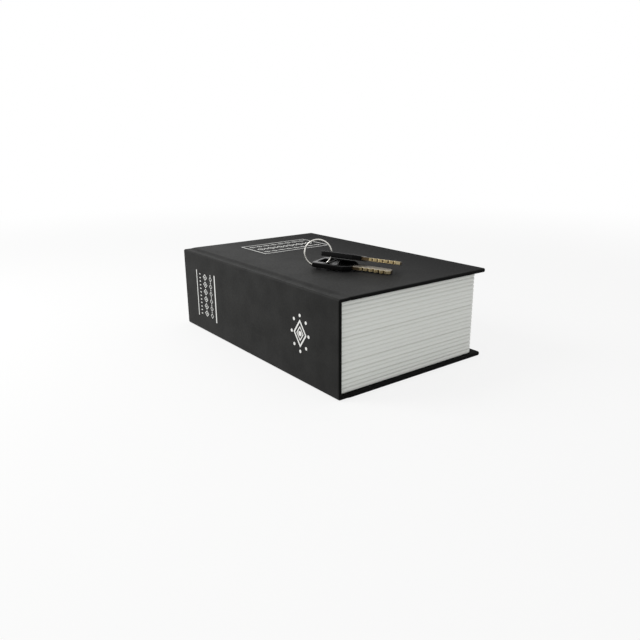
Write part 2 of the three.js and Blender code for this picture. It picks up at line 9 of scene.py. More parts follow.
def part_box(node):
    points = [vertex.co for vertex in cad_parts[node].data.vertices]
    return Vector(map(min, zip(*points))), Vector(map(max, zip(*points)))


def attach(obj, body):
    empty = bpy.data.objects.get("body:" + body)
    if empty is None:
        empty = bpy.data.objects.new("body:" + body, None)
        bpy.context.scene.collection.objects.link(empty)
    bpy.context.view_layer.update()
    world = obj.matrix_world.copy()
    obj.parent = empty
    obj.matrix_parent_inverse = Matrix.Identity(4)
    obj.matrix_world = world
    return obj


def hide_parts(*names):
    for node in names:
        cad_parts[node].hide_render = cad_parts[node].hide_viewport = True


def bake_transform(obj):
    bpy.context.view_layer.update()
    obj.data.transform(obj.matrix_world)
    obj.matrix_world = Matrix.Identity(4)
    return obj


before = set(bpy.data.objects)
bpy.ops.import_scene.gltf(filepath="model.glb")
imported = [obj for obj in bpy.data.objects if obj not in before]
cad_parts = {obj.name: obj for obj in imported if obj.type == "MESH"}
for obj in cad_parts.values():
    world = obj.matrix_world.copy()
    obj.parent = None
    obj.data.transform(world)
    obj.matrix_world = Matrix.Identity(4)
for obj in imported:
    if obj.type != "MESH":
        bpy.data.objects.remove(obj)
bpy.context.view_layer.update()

# Table and light. The book lies on a pale table that runs out into a white surround, under one soft
# lamp beside the spine. The camera stands where the photograph was taken from; it is aimed a little
# further left, so that the opened cover stays in view.
mm = 0.001
camera_place = Vector((-241.8, -319.6, 135.8)) * mm
camera_heading = math.radians(36.9)
camera_dip = math.radians(17.1)
camera_roll = math.radians(-0.5)
camera_lens = 34.3
camera_film = 36.0
camera_near = 10 * mm

scene = bpy.context.scene
scene.view_settings.view_transform = "Standard"


def aimed(heading, dip, roll):
    """Turns a camera or lamp towards a heading, clockwise from +Y, and down by dip."""
    ahead = Vector((math.sin(heading) * math.cos(dip), math.cos(heading) * math.cos(dip), -math.sin(dip)))
    right = Vector((math.cos(heading), -math.sin(heading), 0))
    up = right.cross(ahead)
    side = right * math.cos(roll) + up * math.sin(roll)
    return Matrix((side, side.cross(ahead), -ahead)).transposed().to_4x4()


camera = bpy.data.objects.new("camera", bpy.data.cameras.new("camera"))
camera.data.lens = camera_lens
camera.data.sensor_width = camera_film
camera.data.clip_start = camera_near
camera.matrix_world = Matrix.Translation(camera_place) @ aimed(camera_heading, camera_dip, camera_roll)
scene.collection.objects.link(camera)
scene.camera = camera


def add(tree, kind, inputs=None, **settings):
    """Adds a node; an input given as a socket is linked, and any other value is set."""
    made = tree.nodes.new(kind)
    for key, value in settings.items():
        setattr(made, key, value)
    for key, value in (inputs or {}).items():
        if isinstance(value, bpy.types.NodeSocket):
            tree.links.new(value, made.inputs[key])
        else:
            made.inputs[key].default_value = value
    return made


def reckon(tree, operation, *values):
    """One sum on sockets or numbers."""
    return add(tree, "ShaderNodeMath", dict(enumerate(values)), operation=operation).outputs[0]


def mapped(tree, value, low, high, to_low=0.0, to_high=1.0, way="LINEAR"):
    """A value that runs from to_low to to_high as the given one runs from low to high."""
    ends = {"Value": value, "From Min": low, "From Max": high, "To Min": to_low, "To Max": to_high}
    return add(tree, "ShaderNodeMapRange", ends, interpolation_type=way).outputs[0]


def tone(red, green, blue):
    """A colour as seen on a screen, 0 to 255, in the linear values that a shader takes."""
    parts = [value / 255 for value in (red, green, blue)]
    return [((p + 0.055) / 1.055) ** 2.4 if p > 0.04 else p / 12.92 for p in parts] + [1.0]


def seen_directly(tree):
    """1 for what the camera, a gloss or a clear piece sees, and 0 for plain light."""
    path = add(tree, "ShaderNodeLightPath").outputs
    glossy = reckon(tree, "MAXIMUM", path["Is Glossy Ray"], path["Is Transmission Ray"])
    return reckon(tree, "MAXIMUM", path["Is Camera Ray"], glossy)


white = (1, 1, 1, 1)
surround_light = 0.7
surround = bpy.data.worlds.new("surround")
surround.use_nodes = True
scene.world = surround
tree = surround.node_tree
white_seen = add(tree, "ShaderNodeBackground", {"Color": white, "Strength": 1.0}).outputs[0]
plain_light = add(tree, "ShaderNodeBackground", {"Color": white, "Strength": surround_light}).outputs[0]
choice = add(tree, "ShaderNodeMixShader", {0: seen_directly(tree), 1: plain_light, 2: white_seen})
tree.links.new(choice.outputs[0], tree.nodes["World Output"].inputs["Surface"])


def finish(name, colour, roughness, metallic=0.0, specular=0.5):
    """A material with one plain shader, with its tree, its shader and the object coordinates."""
    made = bpy.data.materials.new(name)
    made.use_nodes = True
    tree = made.node_tree
    shader = tree.nodes["Principled BSDF"]
    shader.inputs["Base Color"].default_value = colour
    shader.inputs["Roughness"].default_value = roughness
    shader.inputs["Metallic"].default_value = metallic
    shader.inputs["Specular IOR Level"].default_value = specular
    return made, tree, shader, add(tree, "ShaderNodeTexCoord").outputs["Object"]


table_size = 12.0
table_drop = 0.02 * mm
table_bright = 0.8
table_fade = (0.3, 0.9)
table_paint, tree, lit, place = finish("table_paint", tone(232, 232, 231), 0.9, specular=0.0)
bright = add(tree, "ShaderNodeEmission", {"Color": white, "Strength": 1.0}).outputs[0]
away = add(tree, "ShaderNodeVectorMath", {0: place}, operation="LENGTH").outputs["Value"]
whiteness = mapped(tree, away, *table_fade, table_bright, 1.0, "SMOOTHSTEP")
share = reckon(tree, "MULTIPLY", seen_directly(tree), whiteness)
choice = add(tree, "ShaderNodeMixShader", {0: share, 1: lit.outputs[0], 2: bright})
tree.links.new(choice.outputs[0], tree.nodes["Material Output"].inputs["Surface"])
bpy.ops.mesh.primitive_plane_add(size=table_size, location=(0, 0, -table_drop))
table = bpy.context.object
table.name = "table"
table.data.materials.append(table_paint)

lamp_place = Vector((-0.42, 0.26, 0.40))
lamp_size = 0.32
lamp_power = 1.9
lamp = bpy.data.objects.new("lamp", bpy.data.lights.new("lamp", "AREA"))
lamp.data.shape = "DISK"
lamp.data.size = lamp_size
lamp.data.energy = lamp_power
lamp.matrix_world = Matrix.Translation(lamp_place) @ aimed(
    math.atan2(-lamp_place.x, -lamp_place.y), math.asin(lamp_place.z / lamp_place.length), 0)
scene.collection.objects.link(lamp)

# Leathercloth. The cover boards and the spine are wrapped in black leathercloth, a coated cloth with
# a fine pebbled emboss and a dull, slightly uneven sheen. Towards the fore-edge it grows rougher still,
# and its colour is darkened there as painted shade.
pebble_size = 0.55 * mm
pebble_softness = 0.6
pebble_depth = 0.035 * mm
crease_size = 1.4 * mm
cloud_size = 14 * mm
cloth_dark = tone(23, 23, 22)
cloth_light = tone(35, 35, 34)
# The darker colour that the cloth runs to towards the fore-edge is painted shade.
cloth_painted_shade = tone(16, 16, 16)
shade_and_dull_from, shade_and_dull_to = -30 * mm, 50 * mm
dull_roughness = 0.25


def noise(tree, place, size, detail=3.0):
    """Soft random marks about as large as size, from 0 to 1."""
    return add(tree, "ShaderNodeTexNoise", {"Vector": place, "Scale": 1 / size, "Detail": detail}).outputs[0]


def cells(tree, place, size, softness):
    """Small round bumps side by side, each about as large as size."""
    sizes = {"Vector": place, "Scale": 1 / size, "Smoothness": softness}
    return add(tree, "ShaderNodeTexVoronoi", sizes, feature="SMOOTH_F1").outputs["Distance"]


def colour_between(tree, share, low, high):
    """A colour that runs from low to high as share runs from 0 to 1."""
    mixed = add(tree, "ShaderNodeMix", {"Factor": share}, data_type="RGBA")
    for socket, value in zip([s for s in mixed.inputs if s.type == "RGBA"], (low, high)):
        if isinstance(value, bpy.types.NodeSocket):
            tree.links.new(value, socket)
        else:
            socket.default_value = value
    return next(s for s in mixed.outputs if s.type == "RGBA")


def colour_by(tree, shader, share, low, high):
    """Colours a surface from low to high as share runs from 0 to 1."""
    tree.links.new(colour_between(tree, share, low, high), shader.inputs["Base Color"])


def roughen_by(tree, shader, share, low, high):
    """Runs a surface's roughness from low to high as share runs from 0 to 1."""
    tree.links.new(mapped(tree, share, 0.0, 1.0, low, high), shader.inputs["Roughness"])


def raise_surface(tree, shader, height, depth):
    """Bumps a surface by height, from 0 to 1, times depth."""
    bump = add(tree, "ShaderNodeBump", {"Height": height, "Distance": depth, "Strength": 1.0})
    tree.links.new(bump.outputs[0], shader.inputs["Normal"])


leathercloth, tree, shader, place = finish("leathercloth", cloth_dark, 0.6, specular=0.14)
pebbles = cells(tree, place, pebble_size, pebble_softness)
creases = noise(tree, place, crease_size, 4.0)
height = reckon(tree, "ADD", reckon(tree, "MULTIPLY", pebbles, 0.7), reckon(tree, "MULTIPLY", creases, 0.6))
raise_surface(tree, shader, height, pebble_depth)
clouds = mapped(tree, noise(tree, place, cloud_size), 0.3, 0.7)
along_x = add(tree, "ShaderNodeSeparateXYZ", {0: place}).outputs[0]
shade_and_dulling = mapped(tree, along_x, shade_and_dull_from, shade_and_dull_to)
# Painted shade: the colour darkens towards the fore-edge, over the same span where the roughness grows.
colour_by(tree, shader, shade_and_dulling, colour_between(tree, clouds, cloth_dark, cloth_light), cloth_painted_shade)
uneven = mapped(tree, creases, 0.0, 1.0, 0.5, 0.72)
tree.links.new(reckon(tree, "MULTIPLY_ADD", shade_and_dulling, dull_roughness, uneven), shader.inputs["Roughness"])

# A darker, duller copy of the leathercloth: painted shade on the cloth's edges, turn-ins and folds.
shaded_cloth, tree, shader, place = finish("shaded_cloth", tone(15, 15, 15), 0.8, specular=0.05)
raise_surface(tree, shader, noise(tree, place, 0.5 * mm, 4.0), 0.03 * mm)

# Front and back cover. Each is a greyboard wrapped in leathercloth, rolled softly over its edges and
# turned in by 13 mm on the inside, where the paper pasted over it leaves a narrow black margin. Its
# edges and turn-ins take a darker, duller cloth as painted shade.
cloth_thickness = 0.3 * mm
edge_roll = 0.75 * mm
edge_steps = 6
corner_radius = 2.0 * mm
turn_in = 13.0 * mm
joint_lap = 0.1 * mm
face_lean = 0.5


def solid(name, bm, material):
    """An object in the scene from a finished bmesh."""
    mesh = bpy.data.meshes.new(name)
    bm.to_mesh(mesh)
    bm.free()
    obj = bpy.data.objects.new(name, mesh)
    scene.collection.objects.link(obj)
    mesh.materials.append(material)
    return obj


def settle(obj, sharp=35):
    """Turns an object and its modifiers into one plain mesh, smooth but for its sharp edges."""
    bpy.context.view_layer.update()
    made = bpy.data.meshes.new_from_object(obj.evaluated_get(bpy.context.evaluated_depsgraph_get()))
    obj.modifiers.clear()
    obj.data = made
    made.polygons.foreach_set("use_smooth", [True] * len(made.polygons))
    made.set_sharp_from_angle(angle=math.radians(sharp))
    return obj


def walled(obj, thickness, sharp=35, even=False):
    """Gives a sheet its thickness, inwards from the faces that it has."""
    wall = obj.modifiers.new("wall", "SOLIDIFY")
    wall.thickness = thickness
    wall.offset = -1
    wall.use_even_offset = even
    return settle(obj, sharp)


def faced(obj, material, chosen):
    """Gives the chosen faces of a piece a second material."""
    obj.data.materials.append(material)
    for face in obj.data.polygons:
        face.material_index = int(chosen(face))


def arc(x, y, radius, start, end, steps):
    """Points on a round corner, with its angles in degrees."""
    turns = [math.radians(start + (end - start) * k / steps) for k in range(steps + 1)]
    return [(x + radius * math.cos(t), y + radius * math.sin(t)) for t in turns]


def panel(x0, x1, reach, radius, steps=8):
    """Outline of a panel from x0 to x1 and from -reach to reach, with round corners at x1."""
    lower = arc(x1 - radius, -reach + radius, radius, -90, 0, steps)
    upper = arc(x1 - radius, reach - radius, radius, 0, 90, steps)
    return [(x0, -reach), *lower, *upper, (x0, reach)]


def ringed(rings, closed=False, bm=None):
    """Equal rings of points as a bmesh, joined one to the next, and the last to the first if closed."""
    bm = bmesh.new() if bm is None else bm
    made = [[bm.verts.new(point) for point in ring] for ring in rings]
    for here, there in zip(made, made[1:] + made[:1] if closed else made[1:]):
        for k in range(len(here)):
            after = (k + 1) % len(here)
            bm.faces.new((here[k], here[after], there[after], there[k]))
    return bm, made


def wrapped_board(name, cloth_node, inner_side):
    """The cloth round a board: from the window inside its turn-ins, over the edges, to the outer face."""
    low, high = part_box(cloth_node)
    inner_z, outer_z = (low.z, high.z) if inner_side < 0 else (high.z, low.z)
    quarter = np.linspace(0, math.pi / 2, edge_steps)
    section = [(turn_in, inner_z)]
    section += [(edge_roll * (1 - math.sin(t)), inner_z - inner_side * edge_roll * (1 - math.cos(t)))
                for t in quarter]
    section += [(edge_roll * (1 - math.sin(t)), outer_z + inner_side * edge_roll * (1 - math.cos(t)))
                for t in reversed(quarter)]
    section.append((2 * edge_roll, outer_z))
    rings = []
    for inset, z in section:
        radius = corner_radius - inset if inset < corner_radius else corner_radius
        outline = panel(low.x + joint_lap + inset, high.x - inset, high.y - inset, radius)
        rings.append([(x, y, z) for x, y in outline])
    bm, made = ringed(rings)
    face = bm.faces.new(made[-1])
    bmesh.ops.recalc_face_normals(bm, faces=bm.faces)
    if face.normal.z * inner_side > 0:
        bmesh.ops.reverse_faces(bm, faces=bm.faces)
    cloth = walled(solid(name, bm, leathercloth), cloth_thickness, even=True)
    # The faces that don't look outwards take the darker cloth as painted shade.
    faced(cloth, shaded_cloth, lambda face: -face.normal.z * inner_side < face_lean)
    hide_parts(cloth_node)
    return cloth


front_skin = wrapped_board("front_cover_cloth", "front_cloth", -1)
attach(front_skin, "front_cover")
back_skin = wrapped_board("back_cover_cloth", "back_cloth", 1)
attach(back_skin, "case")

# Greyboard. The boards inside the covers and the spine are bare pressed board, seen only where the
# cloth is cut away.
board_edge_roll = 0.6 * mm

greyboard, tree, shader, place = finish("greyboard", tone(150, 143, 133), 0.92)
fibres = noise(tree, place, 0.8 * mm, 6.0)
colour_by(tree, shader, fibres, tone(132, 126, 117), tone(168, 161, 150))
raise_surface(tree, shader, fibres, 0.05 * mm)


def lock_in(obj, node, body, sharp=40):
    """Lets a finished piece stand for its CAD node."""
    settle(obj, sharp)
    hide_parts(node)
    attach(obj, body)


def softened(node, width, material, body, segments=3):
    """A CAD piece with its edges rounded; its large faces stay truly flat beside the narrow round ones."""
    weld = 0.003 * mm
    level, corner = math.radians(1), math.radians(32)
    barely_bent = 0.05
    flat_share = 6
    bm = bmesh.new()
    bm.from_mesh(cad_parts[node].data)
    bmesh.ops.remove_doubles(bm, verts=bm.verts, dist=weld)
    bmesh.ops.dissolve_limit(bm, angle_limit=level, verts=bm.verts, edges=bm.edges)
    obj = solid(node + "_soft", bm, material)
    soft = obj.modifiers.new("edges", "BEVEL")
    soft.width = width
    soft.segments = segments
    soft.limit_method = "ANGLE"
    soft.angle_limit = corner
    lock_in(obj, node, body)
    bm = bmesh.new()
    bm.from_mesh(obj.data)
    for edge in bm.edges:
        areas = sorted(face.calc_area() for face in edge.link_faces)
        if len(areas) == 2 and areas[1] > flat_share * areas[0] and edge.calc_face_angle() > barely_bent:
            edge.smooth = False
    bm.to_mesh(obj.data)
    bm.free()
    return obj


for node, body in (("front_board", "front_cover"), ("back_board", "case"), ("spine_board", "case")):
    softened(node, board_edge_roll, greyboard, body)

# Spine and joints. One length of cloth runs from the front cover down through its joint, over the
# spine board and through the back joint. It is folded in at the head and the tail, where both joints
# run out nearly flat.
front_joint_depth = 0.9 * mm
back_joint_depth = 0.55 * mm
joint_fade = 14 * mm
joint_slope = 3.6 * mm
joint_blend = 0.9 * mm
joint_steps = 36
cover_lap = 1.7 * mm
lap_sink = 0.015 * mm
ridge_depth = 0.3 * mm
ridge_radius = 1.25 * mm
ridge_slope = 2.2 * mm
ridge_steps = 9
joint_double = 1.9 * mm
spine_double = 2.3 * mm
spine_double_start = 1.7 * mm
spine_double_run = 0.9 * mm
face_steps = 10
fold_length = 1.7 * mm
spine_fold_length = 1.6 * mm
fold_steps = 5
fade_rows = 7
end_lean = 0.6


def ease(share):
    """A soft step from 0 to 1."""
    share = min(max(share, 0.0), 1.0)
    return share * share * (3 - 2 * share)


spine_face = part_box("spine_cloth")[0].x
cover_low, cover_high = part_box("front_cloth")
board_edge = cover_low.x
half_length = cover_high.y
cover_top = cover_high.z


def joint_line(joint_depth):
    """Points (x, depth below the cover's face) from the cover, through the joint, to the spine."""
    ridge_x = spine_face + ridge_radius
    floor_end = ridge_x + ridge_slope
    xs = np.linspace(board_edge + cover_lap, ridge_x, joint_steps)
    line = []
    for x in xs:
        drop = ease((board_edge + joint_blend - x) / joint_slope)
        rise = ease((floor_end - x) / ridge_slope)
        depth = joint_depth * drop + (ridge_depth - joint_depth) * rise
        line.append((x, depth + lap_sink * ease((x - board_edge) / cover_lap)))
    for turn in np.linspace(0, math.pi / 2, ridge_steps)[1:]:
        line.append((ridge_x - ridge_radius * math.sin(turn),
                     ridge_depth + ridge_radius * (1 - math.cos(turn))))
    return line


half_height = cover_top / 2
close_steps = [spine_double_run * share for share in (0.25, 0.5, 0.75, 1.0, 1.5)]


def cloth_run(front_depth, back_depth):
    """The cloth's line from the front cover over the spine to the back cover, for given joint depths."""
    upper = [Vector((x, 0, cover_top - depth)) for x, depth in joint_line(front_depth)]
    lower = [Vector((x, 0, depth)) for x, depth in reversed(joint_line(back_depth))]
    face_zs = [upper[-1].z - step for step in close_steps]
    face_zs += list(np.linspace(face_zs[-1], lower[0].z + close_steps[-1], face_steps)[1:])
    face_zs += [lower[0].z + step for step in reversed(close_steps[:-1])]
    return upper + [Vector((spine_face, 0, z)) for z in face_zs] + lower


middle_run = cloth_run(front_joint_depth, back_joint_depth)
end_run = cloth_run(ridge_depth, ridge_depth)


def run_point(k, y):
    """A point of the cloth's line at y: the joints grow shallower towards the head and the tail."""
    k = min(max(k, 0), len(middle_run) - 1)
    return middle_run[k].lerp(end_run[k], ease((abs(y) - half_length + joint_fade) / joint_fade))


def fold_across(double, length):
    """Across the cloth, from one folded end to the other: (y, depth under the face)."""
    roll = min(edge_roll, double / 2)
    quarter = np.linspace(0, math.pi / 2, fold_steps)
    tail = [(-half_length + roll + length, double)]
    tail += [(-half_length + roll - roll * math.sin(t), double - roll + roll * math.cos(t)) for t in quarter]
    tail += [(-half_length + roll - roll * math.cos(t), roll - roll * math.sin(t)) for t in quarter]
    tail += [(y, 0.0) for y in np.linspace(-half_length + 2 * roll, -half_length + joint_fade, fade_rows)]
    tail += [(-half_length * 0.5, 0.0), (0.0, 0.0)]
    return tail + [(-y, depth) for y, depth in reversed(tail[:-1])]


def takes_painted_shade(face):
    """Whether a face of the cloth looks inwards, or out over its folded end, and so takes the darker cloth
    as painted shade.
    """
    inward = max(face.normal.x, face.normal.z if face.center.z < half_height else -face.normal.z)
    return abs(face.normal.y) > end_lean or inward > face_lean


bm = bmesh.new()
rows = []
for k, point in enumerate(end_run):
    from_face = half_height - abs(point.z - half_height)
    at_spine = ease((from_face - spine_double_start) / spine_double_run)
    double = joint_double + (spine_double - joint_double) * at_spine
    length = fold_length + (spine_fold_length - fold_length) * at_spine
    row = []
    for y, depth in fold_across(double, length):
        along = (run_point(k + 1, y) - run_point(k - 1, y)).normalized()
        outward = Vector((along.z, 0, -along.x))
        row.append(bm.verts.new(run_point(k, y) - outward * depth + Vector((0, y, 0))))
    rows.append(row)
for here, there in zip(rows, rows[1:]):
    for k in range(len(here) - 1):
        bm.faces.new((here[k], there[k], there[k + 1], here[k + 1]))
bmesh.ops.recalc_face_normals(bm, faces=bm.faces)
spine_cloth = walled(solid("spine_and_joint_cloth", bm, leathercloth), cloth_thickness, sharp=60)
# The inward faces and folded ends take the darker cloth as painted shade.
faced(spine_cloth, shaded_cloth, takes_painted_shade)
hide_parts("spine_cloth", "front_joint_cloth", "back_joint_cloth")
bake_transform(spine_cloth)

# Foil. The front cover and the spine are stamped in dull silver foil, pressed a little into the cloth:
# plain rules with rows of lozenges and bars between them, and a rosette near the spine's tail.
foil_thickness = 0.06 * mm
foil_sink = 0.03 * mm
rule_width = 0.8 * mm
label_x = (-22.0 * mm, 33.5 * mm)
label_y = (35.0 * mm, 68.5 * mm)
spine_band_y = (43.8 * mm, 71.3 * mm)
spine_band_z = (10.6 * mm, 44.0 * mm)
rosette_centre = (-55.5 * mm, 29.0 * mm)
rosette_length = 18.0 * mm
rosette_height = 23.0 * mm

silver_foil, tree, shader, place = finish("silver_foil", tone(232, 232, 229), 0.38, metallic=0.5)
rubbed = noise(tree, place, 0.5 * mm, 5.0)
colour_by(tree, shader, rubbed, tone(214, 214, 211), tone(246, 246, 243))
roughen_by(tree, shader, rubbed, 0.5, 0.3)
raise_surface(tree, shader, rubbed, 0.02 * mm)


def bar(x0, x1, y0, y1):
    """A straight bar of foil."""
    return [[(x0, y0), (x1, y0), (x1, y1), (x0, y1)]]


def frame_of(x0, x1, y0, y1, width):
    """Four bars round a rectangle."""
    return (bar(x0, x1, y0, y0 + width) + bar(x0, x1, y1 - width, y1)
            + bar(x0, x0 + width, y0 + width, y1 - width) + bar(x1 - width, x1, y0 + width, y1 - width))


def lozenge(across, along, width):
    """An open lozenge as four strokes that meet at its corners."""
    outer = [(across, 0), (0, along), (-across, 0), (0, -along)]
    share = 1 - width / min(across, along)
    inner = [(x * share, y * share) for x, y in outer]
    return [[outer[k], outer[(k + 1) % 4], inner[(k + 1) % 4], inner[k]] for k in range(4)]


def dot(radius, sides=12):
    """A round dot of foil."""
    return [arc(0, 0, radius, 0, 360 * (1 - 1 / sides), sides - 1)]


def shifted(strokes, x, y):
    """The same strokes in another place."""
    return [[(a + x, b + y) for a, b in stroke] for stroke in strokes]


def foil_mesh(name, strokes):
    """Foil lying flat: every stroke is a thin closed plate from -foil_sink up."""
    bm = bmesh.new()
    for stroke in strokes:
        low, high = [[bm.verts.new((x, y, z)) for x, y in stroke]
                     for z in (-foil_sink, foil_thickness - foil_sink)]
        bm.faces.new(low[::-1])
        bm.faces.new(high)
        for k in range(len(stroke)):
            after = (k + 1) % len(stroke)
            bm.faces.new((low[k], low[after], high[after], high[k]))
    return solid(name, bm, silver_foil)


def geometry_tree(name, sizes):
    """A geometry node tree with the mesh going in and out, and one named input for each size."""
    tree = bpy.data.node_groups.new(name, "GeometryNodeTree")
    for side in ("INPUT", "OUTPUT"):
        tree.interface.new_socket(name="Geometry", in_out=side, socket_type="NodeSocketGeometry")
    for size, value in sizes.items():
        kind = "NodeSocketInt" if isinstance(value, int) else "NodeSocketFloat"
        tree.interface.new_socket(name=size, in_out="INPUT", socket_type=kind)
    return tree, tree.nodes.new("NodeGroupInput").outputs


def close_tree(tree, geometry, material):
    """Ends a tree: its copies become real mesh and take their material."""
    real = add(tree, "GeometryNodeRealizeInstances", {"Geometry": geometry}).outputs[0]
    painted = add(tree, "GeometryNodeSetMaterial", {"Geometry": real, "Material": material}).outputs[0]
    add(tree, "NodeGroupOutput", {"Geometry": painted})


def grown(obj, tree, sizes):
    """Runs a tree on an object with the given sizes, and keeps the plain mesh."""
    growth = obj.modifiers.new("growth", "NODES")
    growth.node_group = tree
    for item in tree.interface.items_tree:
        if item.in_out == "INPUT" and item.name in sizes:
            growth[item.identifier] = sizes[item.name]
    return settle(obj)


row_sizes = {"Copies": 1, "Step X": 0.0, "Step Y": 0.0}
row_tree, entry = geometry_tree("row_of_ornaments", row_sizes)
step = add(row_tree, "ShaderNodeCombineXYZ", {0: entry["Step X"], 1: entry["Step Y"]}).outputs[0]
line = add(row_tree, "GeometryNodeMeshLine", {"Count": entry["Copies"], "Offset": step}).outputs[0]
copies = add(row_tree, "GeometryNodeInstanceOnPoints", {"Points": line, "Instance": entry["Geometry"]})
close_tree(row_tree, copies.outputs[0], silver_foil)


def ornament_row(name, strokes, count, step_x, step_y):
    """A row of copies of one ornament, the first where it is drawn."""
    return grown(foil_mesh(name, strokes), row_tree, {"Copies": count, "Step X": step_x, "Step Y": step_y})


def merged(name, parts, place):
    """Joins the pieces of one stamping into one mesh, and lays it in its place."""
    bm = bmesh.new()
    for part in parts:
        bm.from_mesh(part.data)
        bpy.data.objects.remove(part)
    bm.transform(place)
    return solid(name, bm, silver_foil)


row_pitch = 10.2 * mm
small_step, large_step = 6.2 * mm, 8.3 * mm
small_count, large_count = 8, 6
small_across = 2.5 * mm
spacer_radius = 0.5 * mm
pillar_half, pillar_reach = 0.4 * mm, 2.6 * mm
small = lozenge(small_across, 2.1 * mm, 0.6 * mm) + dot(0.55 * mm)
small += shifted(dot(spacer_radius), small_step / 2, 0)
large = lozenge(3.2 * mm, 3.6 * mm, 0.7 * mm) + lozenge(1.4 * mm, 1.6 * mm, 0.5 * mm)
pillar = bar(large_step / 2 - pillar_half, large_step / 2 + pillar_half, -pillar_reach, pillar_reach)
middle_x, middle_y = sum(label_x) / 2, sum(label_y) / 2
small_lean = (small_step / 2 + spacer_radius - small_across) / 2
small_x = middle_x - small_step * (small_count - 1) / 2 - small_lean
large_x = middle_x - large_step * (large_count - 1) / 2
label_parts = [foil_mesh("label_frame", frame_of(*label_x, *label_y, rule_width))]
for name, strokes, x, y, count, step in (
        ("label_low_row", small, small_x, middle_y - row_pitch, small_count, small_step),
        ("label_high_row", small, small_x, middle_y + row_pitch, small_count, small_step),
        ("label_middle_row", large, large_x, middle_y, large_count, large_step),
        ("label_pillars", pillar, large_x, middle_y, large_count - 1, large_step)):
    label_parts.append(ornament_row(name, shifted(strokes, x, y), count, step, 0.0))
front_foil = merged("front_cover_foil", label_parts, Matrix.Translation((0, 0, cover_top)))
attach(front_foil, "front_cover")

band_step = 5.2 * mm
band_count = 6
band_low = sum(spine_band_z) / 2 - band_step * (band_count - 1) / 2
band_width = spine_band_y[1] - spine_band_y[0]
low_rule, high_rule = 1.3 * mm, 0.9 * mm
beads = lozenge(2.0 * mm, 1.9 * mm, 0.55 * mm) + shifted(dot(0.5 * mm), 0, band_step / 2)
links = lozenge(2.9 * mm, 2.3 * mm, 0.6 * mm) + dot(0.6 * mm)
dashes = bar(-0.9 * mm, 0.9 * mm, -1.7 * mm, -1.0 * mm) + bar(-0.9 * mm, 0.9 * mm, 1.0 * mm, 1.7 * mm)
rules = (bar(spine_band_y[0], spine_band_y[0] + low_rule, *spine_band_z)
         + bar(spine_band_y[1] - high_rule, spine_band_y[1], *spine_band_z))
bead_radius = 1.0 * mm
bead_x, bead_z = rosette_length / 2 - bead_radius, rosette_height / 2 - bead_radius
petal_x, petal_z = 0.34 * rosette_length, 0.36 * rosette_height
inner_petal = 0.55
rosette = lozenge(petal_x, petal_z, 1.3 * mm) + dot(1.5 * mm)
rosette += lozenge(inner_petal * petal_x, inner_petal * petal_z, 0.9 * mm)
for t in np.linspace(0, 2 * math.pi, 8, endpoint=False):
    rosette += shifted(dot(bead_radius), bead_x * math.cos(t), bead_z * math.sin(t))
rosette = shifted(rosette, *rosette_centre)
spine_parts = [foil_mesh("spine_rules", rules), foil_mesh("spine_rosette", rosette)]
for name, strokes, share in (("spine_low_column", beads, 0.24), ("spine_middle_column", links, 0.53),
                             ("spine_high_column", dashes, 0.8)):
    column = shifted(strokes, spine_band_y[0] + band_width * share, band_low)
    spine_parts.append(ornament_row(name, column, band_count, 0.0, band_step))
onto_spine = Matrix(((0, 0, -1, spine_face), (1, 0, 0, 0), (0, 1, 0, 0), (0, 0, 0, 1)))
spine_foil = merged("spine_foil", spine_parts, onto_spine)
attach(spine_foil, "case")

# Pages. A ribbed strip of white plastic stands round the tail, the fore-edge and the head of the tray
# like the edges of a thick book; its ribs differ a little in depth and place, as bundles of leaves do.
# Their grooves are darkened as painted shade, a little more on some ribs than on others.
# A pocket at its back takes the end of each hinge rivet.
page_ribs = 21
page_groove = 0.6 * mm
page_groove_share = 0.6
page_steps = (0.0, 0.1, 0.2, 0.3, 0.42, 0.58, 0.7, 0.8, 0.9)
page_radius = 3.5 * mm
page_corner_steps = 8
wall_gap = 0.1 * mm
leaf_size, bundle_size = 0.35 * mm, 2.4 * mm
leaf_stretch = (0.02, 0.02, 1.0)
rib_seed = 12.0
rib_stray = 0.24
rib_depth_spread = 0.5
rib_shade_spread = 0.6
rivet_tail_radius = 2.4 * mm
pocket_spare = 0.3 * mm
pocket_length = 4 * mm


def carried(tree, name):
    """A value that the mesh itself carries at each of its points or faces."""
    return add(tree, "ShaderNodeAttribute", attribute_name=name).outputs["Fac"]


page_paper, tree, shader, place = finish("page_paper", tone(221, 223, 218), 0.75)
by_height = add(tree, "ShaderNodeMapping", {"Vector": place, "Scale": leaf_stretch}).outputs[0]
leaves = noise(tree, by_height, leaf_size, 4.0)
bundles = noise(tree, by_height, bundle_size, 1.0)
mix = reckon(tree, "ADD", reckon(tree, "MULTIPLY", leaves, 0.6), reckon(tree, "MULTIPLY", bundles, 0.5))
paper_tone = colour_between(tree, mix, tone(220, 222, 217), tone(236, 238, 234))
# Painted shade: the paper is coloured darker in the grooves.
colour_by(tree, shader, carried(tree, "painted_groove_shade"), paper_tone, tone(204, 206, 200))
raise_surface(tree, shader, leaves, 0.02 * mm)

block_low, block_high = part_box("page_block")
tray_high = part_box("tray")[1]
pitch = (block_high.z - block_low.z) / page_ribs


